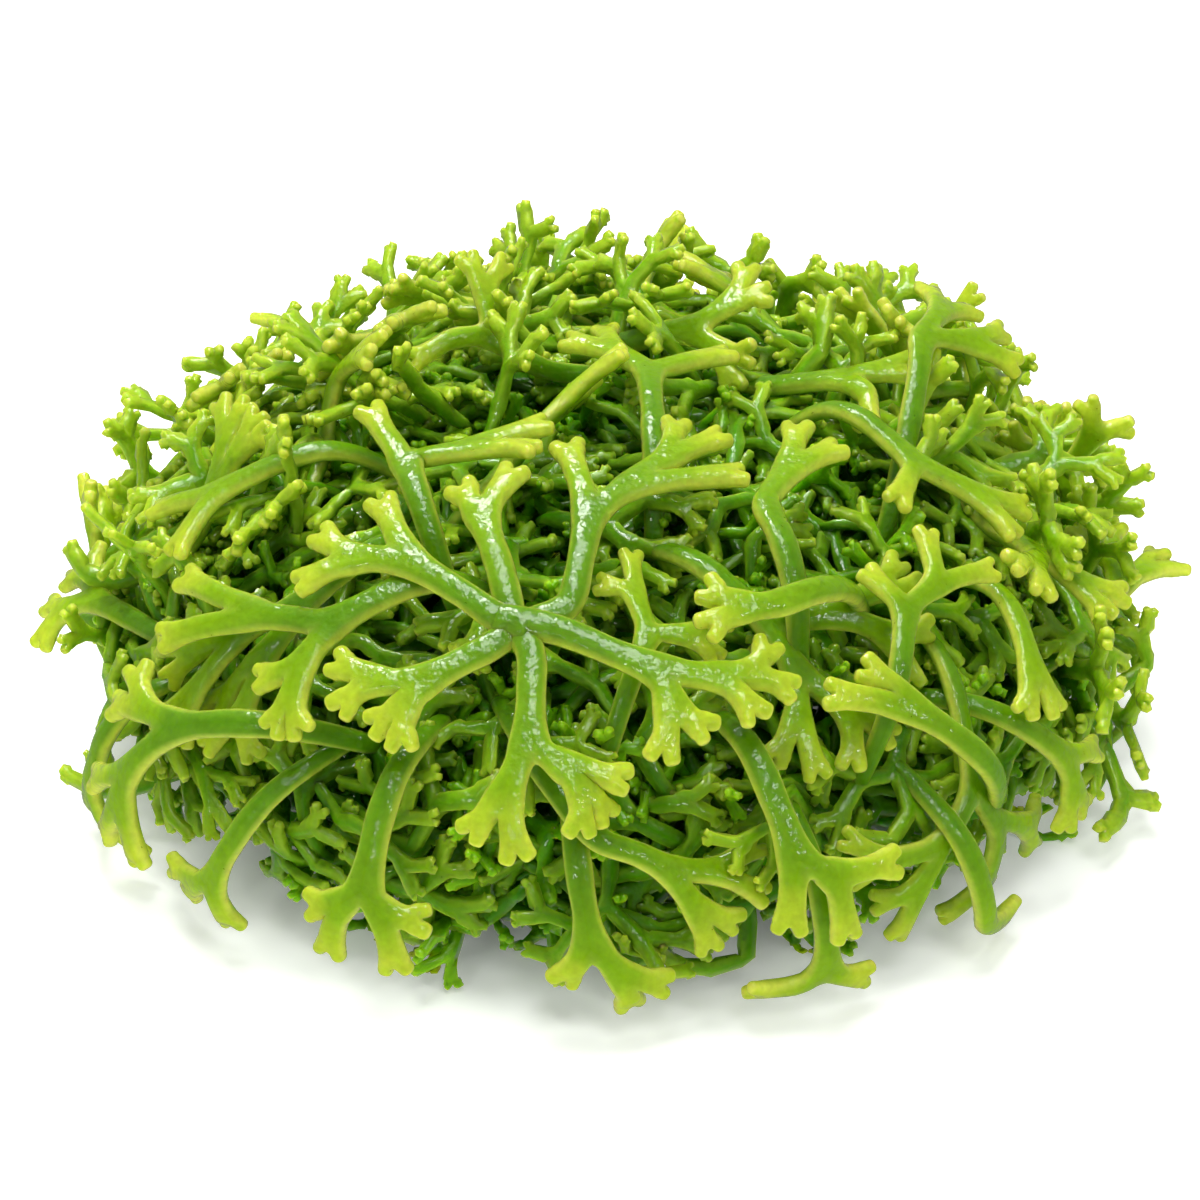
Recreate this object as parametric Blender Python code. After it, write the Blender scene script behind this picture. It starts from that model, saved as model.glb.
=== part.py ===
"""A hand-sized clump of green sea moss: forking fronds heaped over a mat of short tangled sprigs.

Every frond is one closed strap-shaped solid that forks in two again and again, as this seaweed grows.
A frond starts on the mat and grows forwards limb by limb. Each limb looks for free room first, so no
frond runs through another or through the mat. The mat is too fine to model sprig by sprig here, so it
is one solid that reaches the tips of its sprigs, with the flat underside that the clump rests on.

Units are metres and +Z is up. The origin is at the level of the flat underside, in the middle of the
whole clump's length and depth. -Y is the front.
"""

import math
import random

import bmesh
import bpy
from mathutils import Matrix, Vector

MM = 0.001

# Driving dimensions.
MAT_LENGTH = 128 * MM  # across the mat of short sprigs, left to right
MAT_DEPTH = 128 * MM  # front to back
MAT_WAIST = 13 * MM  # height of the mat's widest level above the surface
MAT_RISE = 36 * MM  # from the widest level to the mat's top
MAT_DROP = 22 * MM  # how deep the tuck below the widest level would reach if it weren't cut flat
STRAP_WIDTH = 3.5 * MM
STRAP_THICKNESS = 2.6 * MM
LYING_LENGTHS = [9.5, 8.5, 7, 5.5]  # of a seeded frond's limbs in mm, from the root limb to the tips
STANDING_LENGTHS = [7.2, 6, 4.8]
STANDING_START = 0.6 * MM  # gap between the mat and the foot of a frond that stands out from it
CLEARANCE = 0.75 * MM  # between one strap and the next
FLOOR_CLEARANCE = 0.3 * MM

# How a strap is shaped.
STEPS = 4  # stations along one limb
FORK_SPREAD = 1.3  # width of the strap where it forks, as a share of its own width
WEB = 0.75  # how far the web in a fork's crook reaches forwards, in half widths
TIP_SWELL = 1.12  # width of a limb's blunt end, as a share of its own width
TAPER = 0.94  # width of a limb over the width of the limb it grows from
FORK_TURN = (24, 40)  # degrees each side of straight on
SHARP_ANGLE = 50  # degrees between two faces that are shaded as an edge
MAT_SIDES, MAT_ROWS = 40, 9  # facets round the mat and up it

# How a frond grows.
WILD_LENGTH = (0.82, 1.2)  # shares of the usual length that a seeded limb may have
WILD_BEND = 24  # degrees that it may bend sideways over its length
WILD_LIFT = (-8, 12)  # degrees that it may head towards or away from the mat
SETTLING = 9 * MM  # a frond off its own height above the mat heads back to it over about this distance
STEEPEST_CLIMB = 0.7  # the most that it climbs or dives on the way, per unit of its length
TURNING = 0.6  # share of that correction made in one step
LOWEST_LIMB = 4.5 * MM  # a limb that comes down to the surface levels out at this height
SIGHT = 5 * MM  # how far ahead it sees the surface
TRIES = 18  # ways a limb is tried before it is left out
NUDGE = 3.2  # degrees that each further try may turn the limb by
LIFT_NUDGE = 1.3  # how much more it may be lifted than turned
SHARPEST_BEND = 24  # degrees between a limb's end and the straight line between its ends

MAT_CENTRE = Vector((0, 0, MAT_WAIST))
CELL = 5 * MM  # size of the cells that placed straps are looked up in


# ---------------------------------------------------------------- the mat's own shape


def mat_axes(z):
    """Half axes of the ellipsoid that the mat follows at height z."""
    return MAT_LENGTH / 2, MAT_DEPTH / 2, MAT_RISE if z >= MAT_WAIST else MAT_DROP


def above_mat(point):
    """(height above the mat, outward direction) at a point near it."""
    a, b, c = mat_axes(point.z)
    offset = point - MAT_CENTRE
    scaled = Vector((offset.x / a, offset.y / b, offset.z / c))
    reach = scaled.length
    slope = Vector((scaled.x / a, scaled.y / b, scaled.z / c))
    return (reach - 1) * reach / slope.length, slope.normalized()


def on_mat(around, up):
    """The mat's surface `around` degrees from the front, towards +X, and `up` degrees above its waist."""
    lon, lat = math.radians(around), math.radians(up)
    a, b, c = mat_axes(MAT_WAIST + math.sin(lat))
    flat = math.cos(lat)
    return MAT_CENTRE + Vector((a * math.sin(lon) * flat, -b * math.cos(lon) * flat, c * math.sin(lat)))


# ---------------------------------------------------------------- how fronds branch


def limb(length, *forks, bend=0, lift=0):
    """One limb, in millimetres. forks are (turn, limb), with degrees anticlockwise, seen from outside."""
    return {"length": length, "forks": list(forks), "bend": bend, "lift": lift}


def pair(length, turn, first, other_turn, second, **shape):
    """A limb that forks into two tips."""
    return limb(length, (turn, limb(first)), (other_turn, limb(second)), **shape)


def wild_limb(rng, lengths):
    """A limb of its own design, with the limbs that grow from it. lengths runs from this limb to the tips."""
    forks = []
    if len(lengths) > 1:
        forks = [(side * rng.uniform(*FORK_TURN), wild_limb(rng, lengths[1:])) for side in (-1, 1)]
    bend, lift = rng.uniform(-WILD_BEND, WILD_BEND), rng.uniform(*WILD_LIFT)
    return limb(lengths[0] * rng.uniform(*WILD_LENGTH), *forks, bend=bend, lift=lift)


# ---------------------------------------------------------------- room between fronds


class Room:
    """Remembers where straps already are, as balls along them, to keep the next one clear."""

    def __init__(self):
        self.cells = {}

    def key(self, point):
        return tuple(math.floor(x / CELL) for x in point)

    def add(self, point, radius, owner):
        self.cells.setdefault(self.key(point), []).append((point, radius, owner))

    def free(self, point, radius, kin):
        """True if a ball here is clear of the floor, the mat and every strap that isn't kin."""
        if point.z < radius + FLOOR_CLEARANCE or above_mat(point)[0] < radius + CLEARANCE / 2:
            return False
        i, j, k = self.key(point)
        for cell in ((i + x, j + y, k + z) for x in (-1, 0, 1) for y in (-1, 0, 1) for z in (-1, 0, 1)):
            for other, other_radius, owner in self.cells.get(cell, ()):
                gap = 0 if kin and owner[0] == kin[0][0] else CLEARANCE
                if owner not in kin and (other - point).length < radius + other_radius + gap:
                    return False
        return True


# ---------------------------------------------------------------- growing a frond


def steer(point, heading, plan, lift):
    """The heading after one step: level with the mat at the frond's own height, and never into the floor."""
    height, out = above_mat(point)
    climb = (plan["cruise"] - height) / SETTLING * plan["cling"] + math.sin(math.radians(lift))
    climb = max(-STEEPEST_CLIMB, min(STEEPEST_CLIMB, climb))
    turned = heading + out * (climb - heading.dot(out)) * plan["cling"] * TURNING
    too_low = LOWEST_LIMB - (point.z + turned.z * SIGHT)
    if too_low > 0:
        turned.z += too_low / SIGHT
    return turned.normalized()


def grow_limb(limb_plan, start, heading, face, width, plan, nudge):
    """The stations along one limb, each (centre, heading, normal of the flat side, half width)."""
    step = limb_plan["length"] * MM / STEPS
    stations = [(start.copy(), heading.copy(), face.copy(), width)]
    point = start
    for _ in range(STEPS):
        bend = Matrix.Rotation(math.radians((limb_plan["bend"] + nudge[0]) / STEPS), 3, face)
        heading = steer(point, bend @ heading, plan, limb_plan["lift"] + nudge[1])
        face = (face - heading * face.dot(heading)).normalized()
        point = point + heading * step
        stations.append((point.copy(), heading.copy(), face.copy(), width))
    return stations


def balls(stations, forks):
    """Balls that hold the straight strap from the first station to the last, as (centre, radius)."""
    start, end, half = stations[0][0], stations[-1][0], stations[-1][3]
    grip = FORK_SPREAD if forks else TIP_SWELL
    return [(start.lerp(end, i / STEPS), half * (1 + (grip - 1) * i / STEPS)) for i in range(STEPS + 1)]


def fits(room, held, kin, first):
    return all(room.free(point, radius, kin) for point, radius in held[first:])


def straight_enough(stations):
    """True if neither end of the limb points far away from the straight line between its ends."""
    chord = stations[-1][0] - stations[0][0]
    return all(chord.angle(stations[end][1]) < math.radians(SHARPEST_BEND) for end in (0, -1))


def grow(limb_plan, start, heading, face, width, plan, room, rng, owner, kin):
    """A limb with all that grows from it, or None where there is no room."""
    stations = None
    for attempt in range(TRIES):
        spread = attempt * NUDGE
        nudge = (rng.uniform(-spread, spread), rng.uniform(-spread, spread) * LIFT_NUDGE)
        tried = grow_limb(limb_plan, start, heading, face, width, plan, nudge)
        if straight_enough(tried) and fits(room, balls(tried, limb_plan["forks"]), kin, 2 if kin else 1):
            stations = tried
            break
    if stations is None:
        return None
    for point, radius in balls(stations, limb_plan["forks"]):
        room.add(point, radius, owner)
    end, ahead, flat, half = stations[-1]
    grown = []
    for turn, child_plan in limb_plan["forks"]:
        turned = Matrix.Rotation(math.radians(turn), 3, flat) @ ahead
        rolled = Matrix.Rotation(math.radians(rng.uniform(-plan["roll"], plan["roll"])), 3, turned) @ flat
        family = (owner, owner + (1,), owner + (2,))
        side = owner + (1 if turn > 0 else 2,)
        child = grow(child_plan, end, turned, rolled, half * TAPER, plan, room, rng, side, family)
        if child:
            grown.append((turn, child))
    grown.sort(key=lambda fork: -fork[0])
    return {"stations": stations, "forks": grown}


def grow_frond(plan, room):
    """A frond from its plan: where it starts on the mat, which way it heads and how it branches."""
    rng = random.Random(plan["seed"])
    foot = on_mat(plan["around"], plan["up"])
    out = above_mat(foot)[1]
    right = Vector((math.cos(math.radians(plan["around"])), math.sin(math.radians(plan["around"])), 0))
    down = out.cross(right).normalized() * -1
    if down.z > 0:
        down.negate()
    right = (right - out * right.dot(out)).normalized()
    turn, lift = math.radians(plan["heading"]), math.radians(plan["lift"])
    along = down * math.cos(turn) + right * math.sin(turn)
    heading = along * math.cos(lift) + out * math.sin(lift)
    face = (out * math.cos(lift) - along * math.sin(lift)).normalized()
    face = Matrix.Rotation(math.radians(plan["twist"]), 3, heading) @ face
    half = STRAP_WIDTH / 2 * plan["scale"]
    start = foot + out * (plan["start"] + half + CLEARANCE)
    return grow(plan["branches"], start, heading, face, half, plan, room, rng, (plan["name"],), ())


# ---------------------------------------------------------------- the fronds of this clump


def frond(name, around, up, heading, branches, level=6.5, **more):
    """A frond's plan. heading is 0 down the slope, 90 to the right. level is mm above the mat."""
    plan = {"name": name, "around": around, "up": up, "heading": heading, "branches": branches, "seed": name}
    plan.update({"cruise": level * MM, "start": level * 0.8 * MM, "scale": 1.0, "lift": 8})
    plan.update({"cling": 0.7, "roll": 16, "twist": 0})
    plan.update(more)
    return plan


def star_fronds():
    """The five fronds that meet like a star on the front of the heap."""
    high = {"level": 10.5, "start": 8 * MM, "lift": 4, "roll": 10}
    down_right = limb(5.5, (24, limb(6)), (-26, pair(3, 36, 3.8, -36, 4.2)))
    lower = limb(9.5, (-23, pair(6.5, -22, 5.6, 34, 6.6)), (56, down_right))
    right_end = limb(7.2, (-50, limb(5.5)), (16, pair(3.5, -34, 4.4, 52, 4)))
    right = limb(11.5, (-48, pair(4.6, -28, 5.4, 44, 4.4)), (24, right_end))
    left = limb(8, (30, pair(3.8, -38, 3.4, 32, 3.8)), (-38, pair(6, -24, 5, 52, 4.5)))
    upper_left = limb(12, (30, limb(7, (30, limb(6.5)), (-38, limb(6)))), (-28, limb(10)))
    upper = pair(6.5, -46, 7.4, 14, 5)
    return [
        frond("star_frond_lower", -9, 37, 6, lower, **high),
        frond("star_frond_right", -5, 41, 68, right, **high),
        frond("star_frond_left", -15, 38, -50, left, **high),
        frond("star_frond_upper_left", -16, 43, -116, upper_left, **high),
        frond("star_frond_upper", -17, 50, -148, upper, **high),
    ]


def fronds_above_star():
    """The large fronds between the star and the crown, from the pillar outwards."""
    pillar = limb(11.5, (22, limb(12)), (-36, limb(7, (-34, limb(13)), (4, pair(7, 34, 6.5, -14, 7.5)))))
    twig = limb(4.5, (36, pair(6, 58, 4, -14, 5.6)), (-70, pair(5, 30, 4.4, -44, 3.8)))
    blade = limb(6.5, (-20, pair(4.6, 30, 4.4, -44, 4)), (56, pair(4.6, -32, 3.8, 44, 5)))
    tall = limb(8, (16, limb(13)), (-38, pair(7, 20, 7.5, -26, 7)))
    left_upper = limb(11.5, (-32, limb(10)), (38, limb(9)))
    upper_left = limb(5, (12, limb(10, lift=26)), (-96, pair(8, 16, 9.5, -20, 8)))
    upper_centre = limb(12, (34, pair(8, 26, 6, -30, 6)), (-58, limb(12)))
    upper_right = limb(10, (34, pair(9, 30, 6.5, -28, 6)), (-60, limb(8)))
    crest = limb(13, (-18, pair(9, -30, 6.5, 30, 6.5)), (-62, pair(8, -22, 7, 28, 7)))
    return [
        frond("pillar_frond", -5, 47, 176, pillar, 8.5),
        frond("forked_twig_frond", 3, 39, 158, twig, 5.5, scale=0.74),
        frond("pale_blade_frond", 27, 43, -84, blade, 12, start=9 * MM, lift=16),
        frond("tall_forked_frond", 26, 50, 176, tall, 10),
        frond("left_upper_frond", -66, 53, -12, left_upper, 7.5, scale=0.9),
        frond("upper_left_frond", -38, 57, -128, upper_left, 8, scale=0.95),
        frond("upper_centre_frond", 14, 72, 168, upper_centre, 7, scale=0.92),
        frond("upper_right_frond", 66, 61, -24, upper_right, 8, scale=0.92),
        frond("right_crest_frond", 72, 56, 108, crest, 9, lift=36, cling=0.3, scale=0.88),
    ]


def fronds_beside_star():
    """The large fronds left, right and below the star."""
    right_forked = limb(6.5, (50, limb(6)), (-38, pair(6.5, 50, 7, -20, 9)))
    reaching = limb(10.5, (-36, limb(6.5)), (20, limb(9.5)))
    shoulder = limb(9, (-30, pair(5, -26, 4.5, 30, 4.5)), (34, limb(8)))
    low_right = limb(9.5, (-22, limb(8)), (46, pair(5.5, 34, 7.5, -50, 7.2)))
    low_left = limb(9.5, (-46, pair(4.6, -26, 3.8, 36, 6.6)), (46, pair(4, 48, 4.2, -36, 6.6)))
    left_reach = limb(11, (18, limb(13)), (-18, limb(13.5)))
    left_hang = limb(6, (-52, limb(5.5)), (20, pair(4.5, -32, 3.4, 36, 3.4)))
    left = limb(9, (-46, left_reach), (28, left_hang))
    low_reach = limb(10, (-30, limb(9)), (22, pair(4, -26, 9, 26, 8)))
    left_low = limb(10, (-26, pair(7.5, 22, 5, -42, 4.8)), (30, low_reach))
    return [
        frond("right_forked_frond", 34, 33, 146, right_forked, 9, scale=0.84),
        frond("right_reaching_frond", 38, 19, -142, reaching, 9, scale=0.94),
        frond("right_hanging_frond", 53, 31, -30, pair(7, -24, 5.5, 32, 5.5), 7.5, scale=0.86),
        frond("right_shoulder_frond", 47, 19, 40, shoulder, 5, scale=0.86),
        frond("low_right_frond", 15, 23, 12, low_right, 9),
        frond("low_left_frond", -22, 18, -2, low_left, 8.5),
        frond("left_frond", -29, 44, -40, left, 8.5),
        frond("left_low_frond", -40, 22, -68, left_low, 8.5),
    ]


def foot_fronds():
    """The large fronds that hang at the foot of the heap, from the front to both sides."""
    front = limb(8, (-40, limb(6)), (28, pair(6.5, -34, 4.6, 30, 5)))
    front_right = limb(8, (-32, pair(5, -28, 5, 32, 4.4)), (30, limb(7)))
    right = limb(9.5, (-26, limb(7)), (36, limb(8.5)))
    far_right = limb(11, (-28, limb(7.5)), (32, pair(5, -26, 4.5, 26, 4.5)))
    left = limb(10, (-36, pair(5, -26, 4.5, 26, 4.5)), (30, limb(7)))
    far_left = limb(10, (-28, limb(8)), (34, pair(6, -26, 4.5, 26, 4.5)))
    return [
        frond("front_foot_frond", -3, 12, 10, front, 6, scale=0.95),
        frond("front_right_foot_frond", 20, 4, 4, front_right, 6, scale=0.86),
        frond("right_foot_frond", 36, 4, 14, right, 7.5, scale=0.9),
        frond("far_right_foot_frond", 56, 7, 30, far_right, 8, scale=0.86),
        frond("left_foot_frond", -37, 10, -24, left, 7, scale=0.86),
        frond("far_left_foot_frond", -60, 9, -14, far_left, 7.5, scale=0.86),
    ]


def scattered_fronds():
    """The rest, spread evenly round and over the heap: some lie on it, most stand out from it."""
    rows = [
        ("under_frond", 60, {"count": 4, "around": (-52, 52), "up": (24, 62), "level": (3, 3.4)}),
        ("brim_frond", 180, {"count": 11, "around": (62, 300), "up": (2, 20), "level": (3, 5)}),
        ("flank_frond", 180, {"count": 7, "around": (60, 304), "up": (28, 42), "level": (3, 5)}),
        ("slope_frond", 180, {"count": 6, "around": (80, 290), "up": (50, 64), "level": (3, 5)}),
        ("crown_frond", 180, {"count": 5, "around": (-150, 210), "up": (68, 86), "level": (2.6, 4.5)}),
    ]
    plans = []
    for label, most_turned, row in rows:
        first, last = row["around"]
        lying = label == "under_frond"
        for i in range(row["count"]):
            rng = random.Random(f"{label} {i}")
            around = first + (last - first) * (i + rng.uniform(0.25, 0.75)) / row["count"]
            branches = wild_limb(rng, LYING_LENGTHS if lying else STANDING_LENGTHS)
            name = f"{label}_{i + 1:02d}"
            level = rng.uniform(*row["level"])
            heading = rng.uniform(-most_turned, most_turned)
            plan = frond(name, around, rng.uniform(*row["up"]), heading, branches, level)
            plan["lift"] = rng.uniform(4, 18) if lying else rng.uniform(20, 44)
            plan["start"] = level * 0.8 * MM if lying else STANDING_START
            plan["scale"] = rng.uniform(0.82, 0.96)
            plan["cling"] = 0.75 if lying else 0.15
            plan["twist"] = rng.uniform(-20, 20) if lying else rng.uniform(-80, 80)
            plan["roll"] = 22 if lying else 22
            plans.append(plan)
    return plans


def grown_fronds():
    """Every frond that found room, as (plan, tree of limbs)."""
    room = Room()
    plans = star_fronds() + fronds_above_star() + fronds_beside_star() + foot_fronds() + scattered_fronds()
    grown = [(plan, grow_frond(plan, room)) for plan in plans]
    return [(plan, tree) for plan, tree in grown if tree and tree["forks"]]


# ---------------------------------------------------------------- solids


SECTION = ((-1, 0), (-0.6, 1), (0.6, 1), (1, 0), (0.6, -1), (-0.6, -1))  # of a strap, across and over


def outline(centre, heading, face, half, thin):
    """The strap's six corners at a station, from its left edge over its face to its right edge, and back."""
    side = heading.cross(face)
    return [centre + side * (half * across) + face * (thin * over) for across, over in SECTION]


def join(bm, ring, end):
    for i in range(len(ring)):
        j = (i + 1) % len(ring)
        bm.faces.new([ring[i], ring[j], end[j], end[i]])


def skin(bm, ring, limb_tree, scale):
    """Adds the faces of a limb from the ring it starts with, and of all that grows from it."""
    thin = STRAP_THICKNESS / 2 * scale
    centre, heading, face, half = limb_tree["stations"][-1]
    forks = limb_tree["forks"]
    if len(forks) < 2:
        width = half if forks else half * TIP_SWELL
        end = [bm.verts.new(p) for p in outline(centre, heading, face, width, thin)]
        join(bm, ring, end)
        if forks:
            skin(bm, end, forks[0][1], scale)
        else:
            bm.faces.new(end)
        return
    end = [bm.verts.new(p) for p in outline(centre, heading, face, half * FORK_SPREAD, thin)]
    crook = bm.verts.new(centre + heading * (half * (WEB + 0.25)))
    over = bm.verts.new(centre + heading * (half * WEB) + face * thin)
    under = bm.verts.new(centre + heading * (half * WEB) - face * thin)
    for i in (0, 2, 3, 5):
        j = (i + 1) % len(ring)
        bm.faces.new([ring[i], ring[j], end[j], end[i]])
    bm.faces.new([ring[1], ring[2], end[2], over, end[1]])
    bm.faces.new([ring[4], ring[5], end[5], under, end[4]])
    skin(bm, [end[0], end[1], over, crook, under, end[5]], forks[0][1], scale)
    skin(bm, [crook, over, end[2], end[3], end[4], under], forks[1][1], scale)


def make_object(name, bm, material):
    bmesh.ops.recalc_face_normals(bm, faces=bm.faces)
    mesh = bpy.data.meshes.new(name)
    bm.to_mesh(mesh)
    bm.free()
    mesh.materials.append(material)
    mesh.shade_smooth()
    mesh.set_sharp_from_angle(angle=math.radians(SHARP_ANGLE))
    made = bpy.data.objects.new(name, mesh)
    bpy.context.scene.collection.objects.link(made)
    return made


def build_frond(plan, tree, material):
    bm = bmesh.new()
    centre, heading, face, half = tree["stations"][0]
    thin = STRAP_THICKNESS / 2 * plan["scale"]
    ring = [bm.verts.new(p) for p in outline(centre, heading, face, half, thin)]
    bm.faces.new(ring[::-1])
    skin(bm, ring, tree, plan["scale"])
    return make_object(plan["name"], bm, material)


def build_mat(material):
    """The mat of short sprigs: a turned dome, tucked in below its waist and cut flat where it rests."""
    bm = bmesh.new()
    lowest = -math.degrees(math.asin(MAT_WAIST / MAT_DROP))
    levels = [lowest + (90 - lowest) * row / MAT_ROWS for row in range(MAT_ROWS)]
    rings = [[bm.verts.new(on_mat(360 * i / MAT_SIDES, up)) for i in range(MAT_SIDES)] for up in levels]
    for low, high in zip(rings, rings[1:]):
        join(bm, low, high)
    for vert in rings[0]:
        vert.co.z = 0
    bm.faces.new(rings[0][::-1])
    top = bm.verts.new(on_mat(0, 90))
    for i in range(MAT_SIDES):
        bm.faces.new([rings[-1][i], rings[-1][(i + 1) % MAT_SIDES], top])
    return make_object("tangled_sprigs", bm, material)


def wet_seaweed(name, color, roughness):
    """Wet seaweed skin, for the solid view."""
    material = bpy.data.materials.new(name)
    material.use_nodes = True
    shader = material.node_tree.nodes["Principled BSDF"]
    shader.inputs["Base Color"].default_value = (*color, 1)
    shader.inputs["Roughness"].default_value = roughness
    shader.inputs["Metallic"].default_value = 0
    return material


def centre(pieces):
    """Moves every piece by the same amount, so that the clump's box is centred on the origin from above."""
    points = [vert.co for piece in pieces for vert in piece.data.vertices]
    middle = [(min(p[axis] for p in points) + max(p[axis] for p in points)) / 2 for axis in (0, 1)]
    for piece in pieces:
        piece.data.transform(Matrix.Translation((-middle[0], -middle[1], 0)))


def main():
    for old in list(bpy.data.objects):
        bpy.data.objects.remove(old)
    shaded_skin = wet_seaweed("shaded sprigs", (0.05, 0.14, 0.01), 0.4)
    frond_skin = wet_seaweed("frond skin", (0.22, 0.42, 0.03), 0.25)
    pieces = [build_mat(shaded_skin)] + [build_frond(plan, tree, frond_skin) for plan, tree in grown_fronds()]
    centre(pieces)


main()
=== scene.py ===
# %% [markdown]
# # A clump of branching sea moss
# The real thing is a double handful of wet, branching seaweed heaped into a low dome. Two kinds of piece
# make it up. Large straps, called fronds, fork in two again and again and lie over the outside. Under them
# is a mat of short sprigs of the same plant, coloured darker as painted shade. The imported solid model gives
# every frond's place, so this lesson starts by loading it as a fixed frame.

# %% Load the frame
import itertools
import math
import random

import bmesh
import bpy
import numpy as np
from mathutils import Matrix, Vector


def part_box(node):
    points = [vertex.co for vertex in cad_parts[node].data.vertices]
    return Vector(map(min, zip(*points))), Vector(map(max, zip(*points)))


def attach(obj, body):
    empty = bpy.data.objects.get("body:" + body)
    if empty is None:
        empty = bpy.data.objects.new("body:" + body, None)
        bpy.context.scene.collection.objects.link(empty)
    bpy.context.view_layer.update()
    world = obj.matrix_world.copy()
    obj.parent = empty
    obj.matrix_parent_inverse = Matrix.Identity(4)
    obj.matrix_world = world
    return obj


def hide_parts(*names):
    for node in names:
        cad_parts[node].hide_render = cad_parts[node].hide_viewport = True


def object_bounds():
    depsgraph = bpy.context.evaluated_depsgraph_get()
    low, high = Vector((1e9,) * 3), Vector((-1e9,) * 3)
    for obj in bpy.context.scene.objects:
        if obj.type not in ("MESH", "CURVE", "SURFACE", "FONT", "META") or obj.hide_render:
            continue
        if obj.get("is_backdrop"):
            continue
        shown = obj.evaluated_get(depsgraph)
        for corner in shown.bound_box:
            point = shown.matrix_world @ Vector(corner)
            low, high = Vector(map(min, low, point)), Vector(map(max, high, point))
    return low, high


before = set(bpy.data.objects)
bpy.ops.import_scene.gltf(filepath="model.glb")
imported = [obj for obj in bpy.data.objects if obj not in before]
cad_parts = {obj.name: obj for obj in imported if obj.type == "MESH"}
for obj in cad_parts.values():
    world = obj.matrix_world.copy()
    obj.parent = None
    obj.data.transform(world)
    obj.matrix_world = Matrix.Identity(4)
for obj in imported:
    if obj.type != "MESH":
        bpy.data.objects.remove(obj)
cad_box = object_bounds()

MM = 0.001


def in_mm(corner):
    return [round(x / MM, 1) for x in corner]


print("nodes", len(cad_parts), "box in mm", [in_mm(corner) for corner in cad_box])

# %% [markdown]
# ## The mat's own shape
# A heap of wet seaweed settles into a flattened dome that tucks in where it meets the plate. Half an
# ellipsoid above its widest level and a flatter one below describe that with five sizes. The fronds are laid
# out on this surface, so two small functions are needed: one that finds the surface under an angle, and one
# that says how far a point is above it.

# %% Size of the mat
MAT_LENGTH = 128 * MM
MAT_DEPTH = 128 * MM
MAT_WAIST = 13 * MM
MAT_RISE = 36 * MM
MAT_DROP = 22 * MM
MAT_CENTRE = Vector((0, 0, MAT_WAIST))


def mat_axes(z):
    """Half axes of the ellipsoid that the mat follows at height z."""
    return MAT_LENGTH / 2, MAT_DEPTH / 2, MAT_RISE if z >= MAT_WAIST else MAT_DROP


def above_mat(point):
    """(height above the mat, outward direction) at a point near it."""
    a, b, c = mat_axes(point.z)
    offset = point - MAT_CENTRE
    scaled = Vector((offset.x / a, offset.y / b, offset.z / c))
    reach = scaled.length
    slope = Vector((scaled.x / a, scaled.y / b, scaled.z / c))
    return (reach - 1) * reach / slope.length, slope.normalized()


def on_mat(around, up):
    """The mat's surface `around` degrees from the front, towards +X, and `up` degrees above its waist."""
    lon, lat = math.radians(around), math.radians(up)
    a, b, c = mat_axes(MAT_WAIST if up >= 0 else 0)
    flat = math.cos(lat)
    return MAT_CENTRE + Vector((a * math.sin(lon) * flat, -b * math.cos(lon) * flat, c * math.sin(lat)))


mat_low, mat_high = (Vector(corner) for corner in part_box("tangled_sprigs"))
MAT_SHIFT = (mat_low + mat_high) / 2
MAT_SHIFT.z = 0
print("mat from", in_mm(mat_low), "to", in_mm(mat_high), "shifted by", in_mm(MAT_SHIFT))

# %% [markdown]
# ## How a frond branches
# This seaweed grows by splitting its tip in two, over and over. Each stretch between two splits is called a
# limb here. A frond is then a nested list: a limb, and the limbs that turn left and right out of its end.
# The large fronds in front each have a plan of their own. The others get a plan from a seeded random rule.

# %% Plans for limbs
FORK_TURN = (24, 40)
WILD_LENGTH = (0.82, 1.2)
WILD_BEND = 24
WILD_LIFT = (-8, 12)


def limb(length, *forks, bend=0, lift=0):
    """One limb, in millimetres. forks are (turn, limb), with degrees anticlockwise, seen from outside."""
    return {"length": length, "forks": list(forks), "bend": bend, "lift": lift}


def pair(length, turn, first, other_turn, second, **shape):
    """A limb that forks into two tips."""
    return limb(length, (turn, limb(first)), (other_turn, limb(second)), **shape)


def wild_limb(rng, lengths, fork_turn=FORK_TURN):
    """A limb of its own design, with the limbs that grow from it. lengths runs from this limb to the tips."""
    forks = []
    if len(lengths) > 1:
        forks = [(side * rng.uniform(*fork_turn), wild_limb(rng, lengths[1:], fork_turn)) for side in (-1, 1)]
    bend, lift = rng.uniform(-WILD_BEND, WILD_BEND), rng.uniform(*WILD_LIFT)
    return limb(lengths[0] * rng.uniform(*WILD_LENGTH), *forks, bend=bend, lift=lift)


print("a limb with two tips:", pair(6, -22, 5, 34, 5))

# %% [markdown]
# ## Growing without collisions
# Real fronds push one another aside. Here a frond grows limb by limb, and every limb first looks for free
# room. The straps already placed are remembered as balls along their middles, sorted into cells so that only
# near ones are compared. A limb that finds no room is tried again with a small nudge, and is left out if
# none of the tries fits. The same rule and the same seeds made the solid model, so the two agree.

# %% Room between fronds
STRAP_WIDTH = 3.5 * MM
STRAP_THICKNESS = 2.6 * MM
CLEARANCE = 0.75 * MM
FLOOR_CLEARANCE = 0.3 * MM
CELL = 5 * MM
NEAR_CELLS = list(itertools.product((-1, 0, 1), repeat=3))
NO_LIMIT = 1.0  # metres, far outside the clump


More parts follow.
